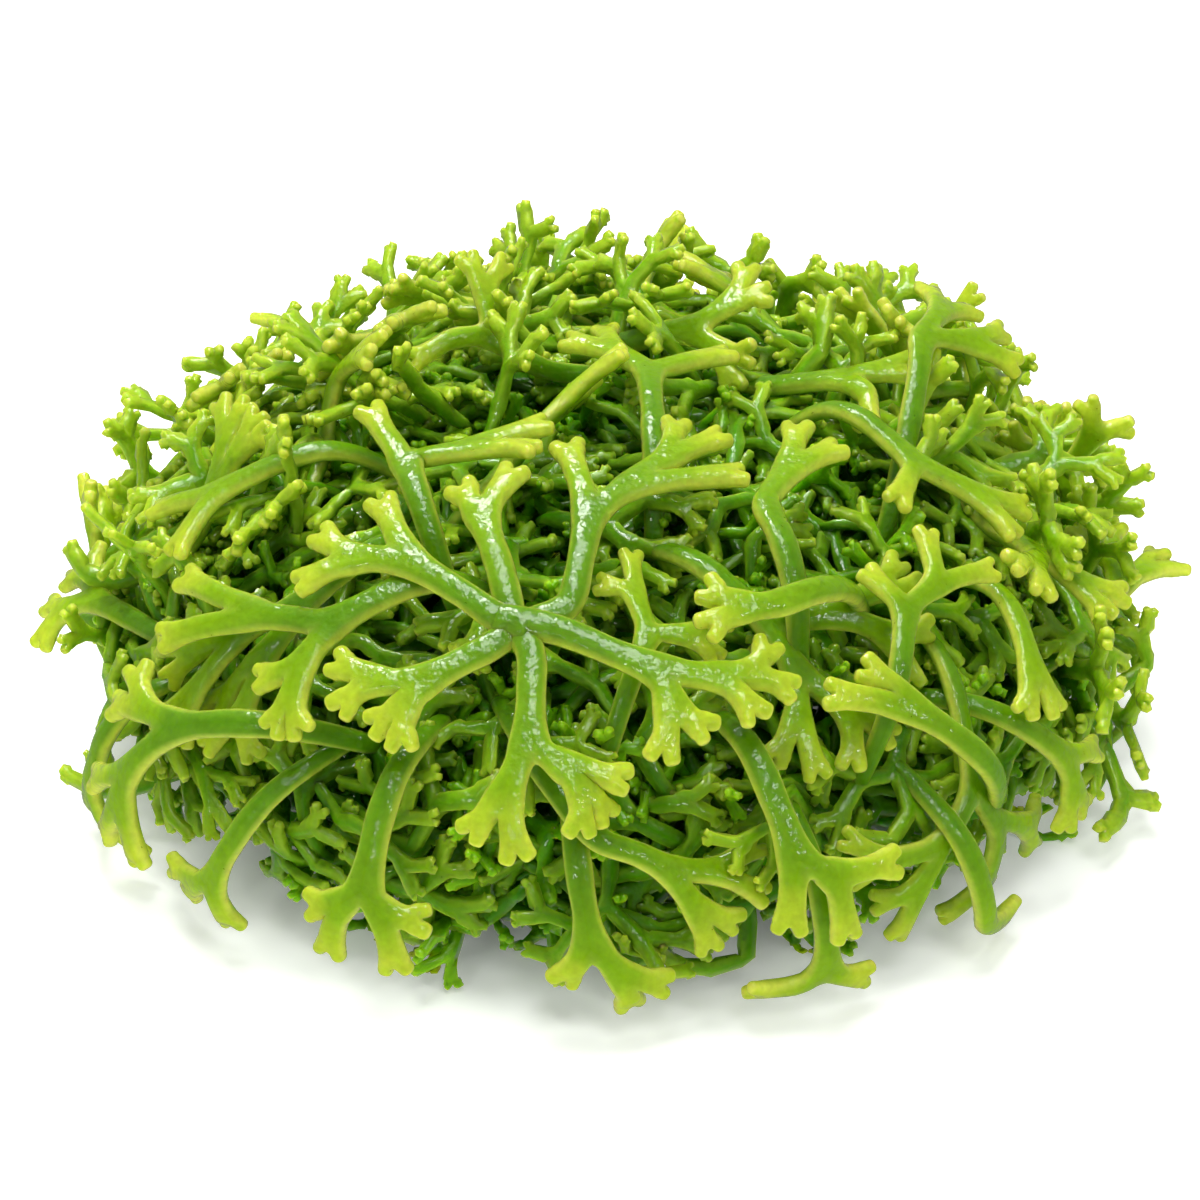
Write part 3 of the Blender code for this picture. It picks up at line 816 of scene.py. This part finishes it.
# %% From points to an object
def mesh_of(skin, name):
    bmesh.ops.recalc_face_normals(skin.bm, faces=skin.bm.faces)
    mesh = bpy.data.meshes.new(name)
    skin.bm.to_mesh(mesh)
    skin.bm.free()
    mesh.shade_smooth()
    return mesh


def in_scene(name, data):
    """A new object with this data, linked into the scene."""
    thing = bpy.data.objects.new(name, data)
    bpy.context.scene.collection.objects.link(thing)
    return thing


def count_triangles(thing):
    mesh = thing.evaluated_get(bpy.context.evaluated_depsgraph_get()).data
    mesh.calc_loop_triangles()
    return len(mesh.loop_triangles)


# %% [markdown]
# ## Wet seaweed
# The plant is a firm, see-through jelly in a wet skin. Its colour comes from inside: light goes in, picks up
# green and comes out some millimetres away, so thin tips glow yellow-green and thick stems are deeper. That
# is subsurface scattering. The water film is a clear coat over it, and its fine ripples break every
# highlight into patches. Three values stored on the mesh steer the colour: the distance to the tip, the
# nearness to the strap's edge, where a paler colour is a painted glow of light through the thin jelly, and
# how deep in the heap a point lies, where a darker colour is painted shade.

# %% Colours and nodes
def linear(hex_colour):
    """A colour written as sRGB hex, as linear red, green, blue and alpha."""
    parts = [int(hex_colour[i:i + 2], 16) / 255 for i in (0, 2, 4)]
    return (*(p / 12.92 if p <= 0.04045 else ((p + 0.055) / 1.055) ** 2.4 for p in parts), 1.0)


def add(tree, kind, inputs=None, **settings):
    """Adds a node with its settings, and its inputs as values or as links from other sockets."""
    node = tree.nodes.new(kind)
    for key, value in settings.items():
        setattr(node, key, value)
    for key, value in (inputs or {}).items():
        if isinstance(value, bpy.types.NodeSocket):
            tree.links.new(value, node.inputs[key])
        else:
            node.inputs[key].default_value = value
    return node


print("linear yellow-green", [round(part, 3) for part in linear("90ba00")])

# %% Wet jelly
STORED = ("reach", "edge", "shade")
# each noise: size in millimetres and detail
PATCHES, GRAIN, RIPPLE, LUMPS = (8, 2.0), (0.9, 3.0), (0.5, 3.0), (1.9, 2.0)
PATCH_SHIFT = 10.0
STEM_FROM = 28.0
LIMB_AT, STEM_AT = 0.22, 0.8
RIM_GLOW_SHARE = 0.9
SPECKLE = (0.75, 1.25)
ROUGHNESS = (0.2, 0.5)
BUMP_STRENGTH = 0.6
LUMP_HEIGHT = 0.6 * MM
# water's index, a weak base gloss, green light that travels farthest, and a smooth coat of water
WET_JELLY = {
    "IOR": 1.33,
    "Specular IOR Level": 0.05,
    "Subsurface Weight": 1.0,
    "Subsurface Radius": (0.7, 1.0, 0.2),
    "Subsurface Scale": 2.0 * MM,
    "Coat Weight": 1.0,
    "Coat Roughness": 0.05,
    "Coat IOR": 1.34,
}


# the next to last colour is painted shade, mixed in the deeper a point lies in the heap, and the last is a
# painted glow at the thin edges
def wet_jelly(name, tip, limb_colour, stem, deep, rim, ripple_mm, see_through):
    """Wet see-through seaweed: a coated, scattering green whose colour runs from stem to tip."""
    material = bpy.data.materials.new(name)
    material.use_nodes = True
    tree = material.node_tree
    shader = tree.nodes["Principled BSDF"]
    place = add(tree, "ShaderNodeTexCoord").outputs["Object"]
    reach, edge, shade = (
        add(tree, "ShaderNodeAttribute", attribute_name=stored).outputs["Fac"] for stored in STORED
    )
    noises = [{"Scale": 1 / (size * MM), "Detail": detail} for size, detail in (PATCHES, GRAIN, RIPPLE, LUMPS)]
    patches, grain, ripple, lumps = (
        add(tree, "ShaderNodeTexNoise", {"Vector": place, **noise}).outputs["Fac"] for noise in noises
    )
    # colour by distance to the tip, with patches that are a little younger or older
    age = add(tree, "ShaderNodeMath", {0: patches, 1: PATCH_SHIFT, 2: reach}, operation="MULTIPLY_ADD")
    low, high = PATCH_SHIFT / 2, PATCH_SHIFT / 2 + STEM_FROM
    age = add(tree, "ShaderNodeMapRange", {"Value": age.outputs[0], "From Min": low, "From Max": high})
    skin = add(tree, "ShaderNodeValToRGB", {"Fac": age.outputs[0]})
    stops = skin.color_ramp.elements
    stops.new(LIMB_AT)
    for stop, position, colour in zip(stops, (0.0, LIMB_AT, STEM_AT), (tip, limb_colour, stem)):
        stop.position = position
        stop.color = linear(colour)
    # a painted rim glow at the thin edge, painted shade deep in the heap, and finely speckled
    thin = add(tree, "ShaderNodeMath", {0: edge, 1: RIM_GLOW_SHARE}, operation="MULTIPLY").outputs[0]
    pale = add(tree, "ShaderNodeMix", {"Factor": thin, 6: skin.outputs[0], 7: linear(rim)}, data_type="RGBA")
    dark = add(tree, "ShaderNodeMix", {"Factor": shade, 6: pale.outputs[2], 7: linear(deep)}, data_type="RGBA")
    speck, rough = (
        add(tree, "ShaderNodeMapRange", {"Value": grain, "To Min": least, "To Max": most}).outputs[0]
        for least, most in (SPECKLE, ROUGHNESS)
    )
    colour = add(tree, "ShaderNodeVectorMath", {0: dark.outputs[2], 1: speck}, operation="MULTIPLY")
    # fine ripples in the water film over the lumps of the skin
    wave = {"Height": ripple, "Distance": ripple_mm * MM, "Strength": BUMP_STRENGTH}
    lump = {"Height": lumps, "Distance": LUMP_HEIGHT, "Strength": BUMP_STRENGTH}
    wave = add(tree, "ShaderNodeBump", wave).outputs[0]
    bump = add(tree, "ShaderNodeBump", {**lump, "Normal": wave}).outputs[0]
    links = {"Base Color": colour.outputs[0], "Roughness": rough, "Normal": bump, "Coat Normal": bump}
    for socket, output in links.items():
        tree.links.new(output, shader.inputs[socket])
    for socket, value in {**WET_JELLY, "Transmission Weight": see_through}.items():
        shader.inputs[socket].default_value = value
    return material


# each jelly: tip, limb and stem colours, then painted shade for deep in the heap, then a painted glow for the
# thin edges
frond_jelly = wet_jelly(
    "wet frond jelly", "c2d430", "90ba00", "659a00", "509200", "e6ec60", ripple_mm=0.08, see_through=0.4
)
# the small fronds and the sprigs lie inside the heap, so their copies of the jelly are darker: painted shade
shaded_small_jelly = wet_jelly(
    "wet small frond jelly", "a2c21c", "76ac00", "549a00", "3a8400", "cadc44", ripple_mm=0.1, see_through=0.3
)
shaded_sprig_jelly = wet_jelly(
    "wet sprig jelly in painted shade", "80b408", "5ca600", "4a9800", "3e8a00", "9cc420", ripple_mm=0.12, see_through=0.15
)

# %% [markdown]
# ## Build every frond
# One piece for each frond of the solid model, with one level of subdivision to round it. A painted shade,
# from the depth in the heap, is stored on its points: fronds lie outside, so theirs only darkens near the foot.

# %% Values stored on a mesh
# shade starts this many millimetres above the mat and is full so many below that
SHADE_FROM, SHADE_OVER = 7, 14
LOW = 1.2 * MM


def store(mesh, name, values):
    mesh.attributes.new(name, "FLOAT", "POINT").data.foreach_set("value", np.asarray(values, dtype=np.float32))


def points_of(mesh):
    places = np.empty(len(mesh.vertices) * 3, dtype=np.float32)
    mesh.vertices.foreach_get("co", places)
    return places.reshape(-1, 3)


def heights_above_mat(places):
    """Height above the mat for many points at once, in metres."""
    offset = places - np.array(MAT_CENTRE)
    rise = np.where(offset[:, 2] >= 0, MAT_RISE, MAT_DROP)
    axes = np.stack([np.full(len(rise), MAT_LENGTH / 2), np.full(len(rise), MAT_DEPTH / 2), rise], axis=1)
    scaled = offset / axes
    reach = np.linalg.norm(scaled, axis=1)
    return (reach - 1) * reach / np.linalg.norm(scaled / axes, axis=1)


def finish_piece(name, mesh, material, nodes, rounding=0):
    """Links a piece, gives it its shade and material, and hides the solid nodes that it stands for."""
    places = points_of(mesh)
    low = places[:, 2] < LOW  # eased upwards, so that nothing passes the floor
    places[low, 2] = LOW * np.exp(places[low, 2] / LOW - 1)
    mesh.vertices.foreach_set("co", places.ravel())
    # painted shade: the deeper a point lies in the heap, the darker its colour
    store(mesh, "shade", np.clip((SHADE_FROM - heights_above_mat(places) / MM) / SHADE_OVER, 0, 1))
    mesh.transform(Matrix.Translation(MAT_SHIFT))
    mesh.materials.clear()
    mesh.materials.append(material)
    piece = in_scene(name, mesh)
    if rounding:
        smooth = piece.modifiers.new("round off", "SUBSURF")
        smooth.levels = smooth.render_levels = rounding
    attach(piece, "root")
    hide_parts(*nodes)
    return count_triangles(piece)


sample_foot = np.array([sample["stations"][0][0]])
print("the last frond's foot is", round(heights_above_mat(sample_foot)[0] / MM, 1), "mm above the mat")

# %% Fronds
FROND_DETAIL = {"pitch": 2.2 * MM, "girth": (0.9, 1.0), "jog": 0.08 * MM, "lobe": FULL_LOBE, "root_steps": 6}
# two of the star's fronds cross its middle on top, and the others end a little under it, in millimetres
OVER_HUB = ("star_frond_right", "star_frond_upper_left")
UNDER_HUB = ("star_frond_lower", "star_frond_left", "star_frond_upper", "pillar_frond")
OVER_PAST, OVER_NARROWING = 2.6, -0.25
UNDER_PAST, UNDER_AIM, UNDER_DEPTH = 1.4, 0.8, 0.7

star_feet = [tree["stations"][0][0] for plan, tree in grown_fronds if plan["name"].startswith("star")]
star_hub = sum(star_feet, Vector()) / len(star_feet)
hub_out = above_mat(star_hub)[1]


def frond_root(name, tree):
    """Where a frond's stem ends: at the middle of the star, or back in the heap."""
    start = tree["stations"][0][0]
    if name in OVER_HUB:
        direction = (star_hub - start).normalized()
        return star_hub + direction * OVER_PAST * MM, direction, OVER_NARROWING
    if name in UNDER_HUB:
        direction = (star_hub - hub_out * UNDER_AIM * MM - start).normalized()
        return star_hub + direction * UNDER_PAST * MM - hub_out * UNDER_DEPTH * MM, direction, 0.0
    return root_into_mat(tree, ROOT_LENGTH)


total = 0
for plan, tree in grown_fronds:
    name = plan["name"]
    skin = Skin()
    lay_strap(skin, tree, STRAP_THICKNESS * plan["scale"], name, FROND_DETAIL, frond_root(name, tree))
    total += finish_piece(f"wet_{name}", mesh_of(skin, name), frond_jelly, [name], rounding=1)
print("frond triangles", total)

# %% Small fronds, one piece for each side
SMALL_DETAIL = {"pitch": 2.6 * MM, "girth": (0.94, 1.24), "jog": 0.16 * MM, "lobe": PLAIN_LOBE, "root_steps": 3}
SMALL_FRAY = 0.24
SMALL_PLUMP = 1.15
SMALL_ROOT = 5 * MM
SIDES = ("front", "right", "back", "left")
for index, side in enumerate(SIDES):
    skin = Skin(PLAIN_SECTION, SMALL_FRAY)
    for plan, tree in small_fronds:
        if round(plan["around"] / 90) % 4 == index:
            thickness = STRAP_THICKNESS * plan["scale"] * SMALL_PLUMP
            lay_strap(skin, tree, thickness, plan["name"], SMALL_DETAIL, root_into_mat(tree, SMALL_ROOT))
    mesh = mesh_of(skin, f"{side} small fronds")
    print(side, finish_piece(f"{side}_small_fronds", mesh, shaded_small_jelly, ["tangled_sprigs"]))

# %% [markdown]
# ## The mat of short sprigs
# Under the fronds is a tangle of hundreds of small sprigs. They are the same plant, so a couple of dozen
# different small straps are made with plainer rings, and a Geometry Nodes tree strews them: it drops points
# over a dome inside the mat, stands a random sprig on each, tips and spins it, and makes the result real.
# Deeper down the same tree strews broad blades, dark with painted shade, which close the gaps that one would
# see through: dark filler standing in for the shade there.

# %% Sprig shapes
SPRIG_DETAIL = {"pitch": 2.4 * MM, "girth": (0.78, 1.16), "jog": 0.2 * MM, "lobe": PLAIN_LOBE, "root_steps": 3}
SPRIG_FRAY = 0.34
SPRIG_TURN = (30, 62)
SPRIG_ROLL = 60
SPRIG_TAPER = 0.95
LENGTH_RANGE = (0.8, 1.2)
SPRIG_ROOT = (Vector((0, 0, -3 * MM)), Vector((0, 0, -1)), ROOT_NARROWING)


def sprig_tree(rng, lengths, start, heading, face, half, curl):
    """A small branching strap that grows freely. Each limb bends by up to curl degrees each way."""
    step = lengths[0] * MM * rng.uniform(*LENGTH_RANGE) / STEPS
    bend, lift = rng.uniform(-curl, curl) / STEPS, rng.uniform(-curl, curl) / STEPS
    stations = [(start, heading, face, half)]
    point = start
    for _ in range(STEPS):
        side = heading.cross(face)
        turn = Matrix.Rotation(math.radians(bend), 3, face) @ Matrix.Rotation(math.radians(lift), 3, side)
        heading, face = (turn @ heading).normalized(), (turn @ face).normalized()
        point = point + heading * step
        stations.append((point, heading, face, half))
    forks = []
    for side in (1, -1) if len(lengths) > 1 else ():
        turn = side * rng.uniform(*SPRIG_TURN)
        ahead = rotated(heading, turn, face)
        flat = rotated(face, rng.uniform(-SPRIG_ROLL, SPRIG_ROLL), ahead)
        forks.append((turn, sprig_tree(rng, lengths[1:], point, ahead, flat, half * SPRIG_TAPER, curl)))
    return {"stations": stations, "forks": forks}


def sprig_kinds(name, count, lengths, halves, flatness, curl):
    """A collection of different sprigs whose stems start at the origin and point up. Sizes are in mm."""
    shapes = bpy.data.collections.new(name)
    for kind in range(count):
        rng = random.Random(f"{name} {kind}")
        half = rng.uniform(*halves) * MM
        tree = sprig_tree(rng, lengths, Vector(), Vector((0, 0, 1)), Vector((1, 0, 0)), half, curl)
        skin = Skin(PLAIN_SECTION, SPRIG_FRAY)
        lay_strap(skin, tree, half * flatness, f"{name} {kind}", SPRIG_DETAIL, SPRIG_ROOT)
        shapes.objects.link(bpy.data.objects.new(f"{name}_{kind:02d}", mesh_of(skin, f"{name} {kind}")))
    return shapes


sprig_shapes = sprig_kinds("sprig", 24, [4.2, 3.7, 3.3, 2.9], (0.68, 0.88), flatness=1.5, curl=55)
# broad blades for the deep beds, dark with the painted shade: filler that stands in for shade in the gaps
blade_shapes = sprig_kinds("blade", 8, [11], (2.4, 3.2), flatness=0.7, curl=15)

# %% [markdown]
# ## Strewing the sprigs
# The nodes are built in the script, with the sizes that a gardener would change as named inputs. The beds
# that the sprigs stand on are patches of dome, a set depth inside the mat, and two flat rings near the floor.

# %% The strewing tree
MOST_DENSE = 400000.0
SPIN_SEED, SIZE_SEED = 7, 11
INPUTS = {"Geometry": "Geometry", "Sprigs": "Collection", "Spacing": "Float", "Seed": "Int", "Skin": "Material"}
INPUTS.update({f"{least} {what}": "Float" for what in ("Tilt", "Size") for least in ("Least", "Most")})


def strewing_tree():
    """Nodes that stand random sprigs on a bed, each tipped, spun and sized at random, and make them real."""
    tree = bpy.data.node_groups.new("strew sprigs", "GeometryNodeTree")
    for name, kind in INPUTS.items():
        tree.interface.new_socket(name, in_out="INPUT", socket_type=f"NodeSocket{kind}")
    tree.interface.new_socket("Geometry", in_out="OUTPUT", socket_type="NodeSocketGeometry")
    given = add(tree, "NodeGroupInput").outputs
    bed = {"Mesh": given["Geometry"], "Distance Min": given["Spacing"], "Seed": given["Seed"]}
    bed["Density Max"] = MOST_DENSE
    points = add(tree, "GeometryNodeDistributePointsOnFaces", bed, distribute_method="POISSON")
    kinds = {"Collection": given["Sprigs"], "Separate Children": True, "Reset Children": True}
    kinds = add(tree, "GeometryNodeCollectionInfo", kinds)
    tilt, spin, size = (
        add(tree, "FunctionNodeRandomValue", {2: least, 3: most, "Seed": seed}, data_type="FLOAT").outputs[1]
        for least, most, seed in (
            (given["Least Tilt"], given["Most Tilt"], given["Seed"]),
            (0.0, math.tau, SPIN_SEED),
            (given["Least Size"], given["Most Size"], SIZE_SEED),
        )
    )
    turn = add(tree, "ShaderNodeCombineXYZ", {"X": tilt, "Z": spin})
    turn = add(tree, "FunctionNodeEulerToRotation", {"Euler": turn.outputs[0]})
    turns = {"Rotation": points.outputs["Rotation"], "Rotate By": turn.outputs[0]}
    stand = add(tree, "FunctionNodeRotateRotation", turns, rotation_space="LOCAL")
    sprigs = {"Points": points.outputs["Points"], "Instance": kinds.outputs[0], "Pick Instance": True}
    sprigs.update({"Rotation": stand.outputs[0], "Scale": size})
    stood = add(tree, "GeometryNodeInstanceOnPoints", sprigs)
    real = add(tree, "GeometryNodeRealizeInstances", {"Geometry": stood.outputs[0]})
    skinned = add(tree, "GeometryNodeSetMaterial", {"Geometry": real.outputs[0], "Material": given["Skin"]})
    add(tree, "NodeGroupOutput", {"Geometry": skinned.outputs[0]})
    return tree


strew = strewing_tree()
SOCKETS = {item.name: item.identifier for item in strew.interface.items_tree if item.in_out == "INPUT"}
print("strewing tree", len(strew.nodes), "nodes")

# %% Beds
BED_HIGHEST = 89
BED_FLOOR = 1.5 * MM


def bed_from(bm, name):
    """A bed as an object in the scene, so that a modifier can work on it."""
    mesh = bpy.data.meshes.new(name)
    bm.to_mesh(mesh)
    bm.free()
    return in_scene(name, mesh)


def dome_patch(name, depth, first, last, lowest=-26, columns=24, rows=18):
    """A patch of the mat's dome, a set depth inside it, from first to last degrees round from the front."""
    bm = bmesh.new()
    grid = []
    for row in range(rows + 1):
        up = lowest + (BED_HIGHEST - lowest) * row / rows
        line = []
        for column in range(columns + 1):
            place = on_mat(first + (last - first) * column / columns, up)
            place = place - above_mat(place)[1] * depth
            place.z = max(place.z, BED_FLOOR)
            line.append(bm.verts.new(place))
        grid.append(line)
    for low, high in zip(grid, grid[1:]):
        for i in range(columns):
            bm.faces.new((low[i], low[i + 1], high[i + 1], high[i]))
    return bed_from(bm, name)


def ring_bed(name, inner, outer, height, sides=40):
    """A flat ring of bed near the floor."""
    bm = bmesh.new()
    angles = [math.tau * i / sides for i in range(sides)]
    far, near = (
        [bm.verts.new((radius * math.cos(angle), radius * math.sin(angle), height)) for angle in angles]
        for radius in (outer, inner)
    )
    for i in range(sides):
        j = (i + 1) % sides
        bm.faces.new((far[i], far[j], near[j], near[i]))
    return bed_from(bm, name)


print("a dome bed reaches", BED_HIGHEST, "degrees above the mat's waist")

# %% Pieces strewn on the beds
SPRIG_BED = {"spacing": 6.0, "tilts": (35, 90), "sizes": (0.9, 1.3)}
BLADE_BED = {"spacing": 6.0, "tilts": (60, 90), "sizes": (0.9, 1.3)}
LOW_BED = {"spacing": 6.2, "tilts": (70, 84), "sizes": (0.9, 1.4)}
FOOT_BED = {"spacing": 6.6, "tilts": (35, 70), "sizes": (1.0, 1.4)}


def strewn(bed, inputs):
    """The sprigs that the tree strews on a bed, as a plain mesh. The bed is removed."""
    modifier = bed.modifiers.new("strew", "NODES")
    modifier.node_group = strew
    for name, value in inputs.items():
        modifier[SOCKETS[name]] = value
    bpy.context.view_layer.update()
    mesh = bpy.data.meshes.new_from_object(bed.evaluated_get(bpy.context.evaluated_depsgraph_get()))
    bpy.data.objects.remove(bed)
    mesh.shade_smooth()
    return mesh


def strew_piece(name, bed, shapes, spacing, tilts, sizes, seed):
    """One piece of the mat. spacing is in millimetres, and tilts are degrees away from straight out."""
    inputs = {"Sprigs": shapes, "Spacing": spacing * MM, "Seed": seed, "Skin": shaded_sprig_jelly}
    inputs["Least Tilt"], inputs["Most Tilt"] = (math.radians(tilt) for tilt in tilts)
    inputs["Least Size"], inputs["Most Size"] = sizes
    mesh = strewn(bed, inputs)
    print(name, finish_piece(name, mesh, shaded_sprig_jelly, ["tangled_sprigs"]))


for index, side in enumerate(SIDES):
    first, last = index * 90 - 45, index * 90 + 45
    shell = dome_patch("bed", 9 * MM, first, last)
    strew_piece(f"{side}_sprigs", shell, sprig_shapes, seed=20 + index, **SPRIG_BED)
    core = dome_patch("deep bed", 17 * MM, first, last)
    strew_piece(f"{side}_blades", core, blade_shapes, seed=40 + index, **BLADE_BED)
low_bed = ring_bed("low bed", 2 * MM, 46 * MM, 4 * MM)
strew_piece("bottom_blades", low_bed, blade_shapes, seed=60, **LOW_BED)
foot_bed = ring_bed("foot bed", 34 * MM, 51 * MM, 4.5 * MM)
strew_piece("foot_sprigs", foot_bed, sprig_shapes, seed=61, **FOOT_BED)
bpy.data.collections.remove(sprig_shapes)
bpy.data.collections.remove(blade_shapes)

# %% [markdown]
# ## The studio
# A plain pale floor and soft light from large panels, as for a catalogue. The floor is matt paper, which
# throws light back evenly and shows no highlight. It also glows faintly away from the clump, a painted light
# that keeps it pale where no panel reaches, and the glow fades out under the clump as a painted shadow. The
# camera looks down at the clump from the front, a third of a right angle above the floor.

# %% Floor
FLOOR_SIZE = 6
# painted light: the floor glows away from the clump, and the fade to no glow under it is a painted shadow
FLOOR_GLOW = {"From Min": 35 * MM, "From Max": 85 * MM, "To Min": 0.0, "To Max": 0.5}

bpy.ops.mesh.primitive_plane_add(size=FLOOR_SIZE)
floor = bpy.context.object
floor.name = "studio_floor"
paper = bpy.data.materials.new("pale paper with painted glow")
paper.use_nodes = True
shader = paper.node_tree.nodes["Principled BSDF"]
shader.inputs["Base Color"].default_value = linear("f4f6f3")
shader.inputs["Roughness"].default_value = 0.9
shader.inputs["Emission Color"].default_value = linear("ffffff")
place = add(paper.node_tree, "ShaderNodeTexCoord").outputs["Object"]
away = add(paper.node_tree, "ShaderNodeVectorMath", {0: place}, operation="LENGTH").outputs["Value"]
glow = {"Value": away, **FLOOR_GLOW}
glow = add(paper.node_tree, "ShaderNodeMapRange", glow, interpolation_type="SMOOTHSTEP")
paper.node_tree.links.new(glow.outputs[0], shader.inputs["Emission Strength"])
floor.data.materials.append(paper)
floor.visible_glossy = False
floor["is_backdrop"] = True
print("floor", floor.dimensions.x, "m wide")

# %% Lights
AIM = Vector((0, 0, 0.03))
# each panel: where it stands, how wide it is and its power in watts
PANELS = {
    "top panel": ((-0.05, -0.05, 0.75), 0.34, 3.9),
    "key panel": ((-0.16, 0.26, 0.62), 0.2, 3.0),
    "front panel": ((0.12, -0.45, 0.7), 0.2, 1.2),
    "right panel": ((0.5, -0.5, 0.5), 0.12, 0.8),
    "low panel": ((-0.3, -0.6, 0.3), 0.08, 0.5),
}
ROOM_LIGHT = 0.25

for name, (place, size, power) in PANELS.items():
    light = bpy.data.lights.new(name, "AREA")
    light.shape = "SQUARE"
    light.size = size
    light.energy = power
    lamp = in_scene(name, light)
    lamp.location = place
    lamp.rotation_euler = (AIM - Vector(place)).to_track_quat("-Z", "Y").to_euler()

world = bpy.data.worlds.new("pale room")
bpy.context.scene.world = world
world.use_nodes = True
sky = world.node_tree.nodes["Background"].inputs
sky["Color"].default_value = linear("ffffff")
sky["Strength"].default_value = ROOM_LIGHT
print("panels", len(PANELS))

# %% Camera
CAMERA_RISE = math.radians(30)
CAMERA_DISTANCE = 0.40
CAMERA_AIM = Vector((-0.0014, 0, 0.0186))
CAMERA_LENS = 90

camera = in_scene("camera", bpy.data.cameras.new("camera"))
camera.data.lens = CAMERA_LENS
camera.data.clip_start = 0.01
camera.location = CAMERA_AIM + Vector((0, -math.cos(CAMERA_RISE), math.sin(CAMERA_RISE))) * CAMERA_DISTANCE
camera.rotation_euler = (math.pi / 2 - CAMERA_RISE, 0, 0)
bpy.context.scene.camera = camera
bpy.context.scene.view_settings.view_transform = "Standard"
print("camera", in_mm(camera.location), "in mm")

# %% [markdown]
# ## Sizes of the clump
# The box that the finished clump fills is printed beside the box of the solid model.

# %% Sizes and finish
visual_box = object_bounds()
boxes = {"cad": [list(corner) for corner in cad_box], "visual": [list(corner) for corner in visual_box]}
for kind, box in boxes.items():
    print(kind, [in_mm(corner) for corner in box])
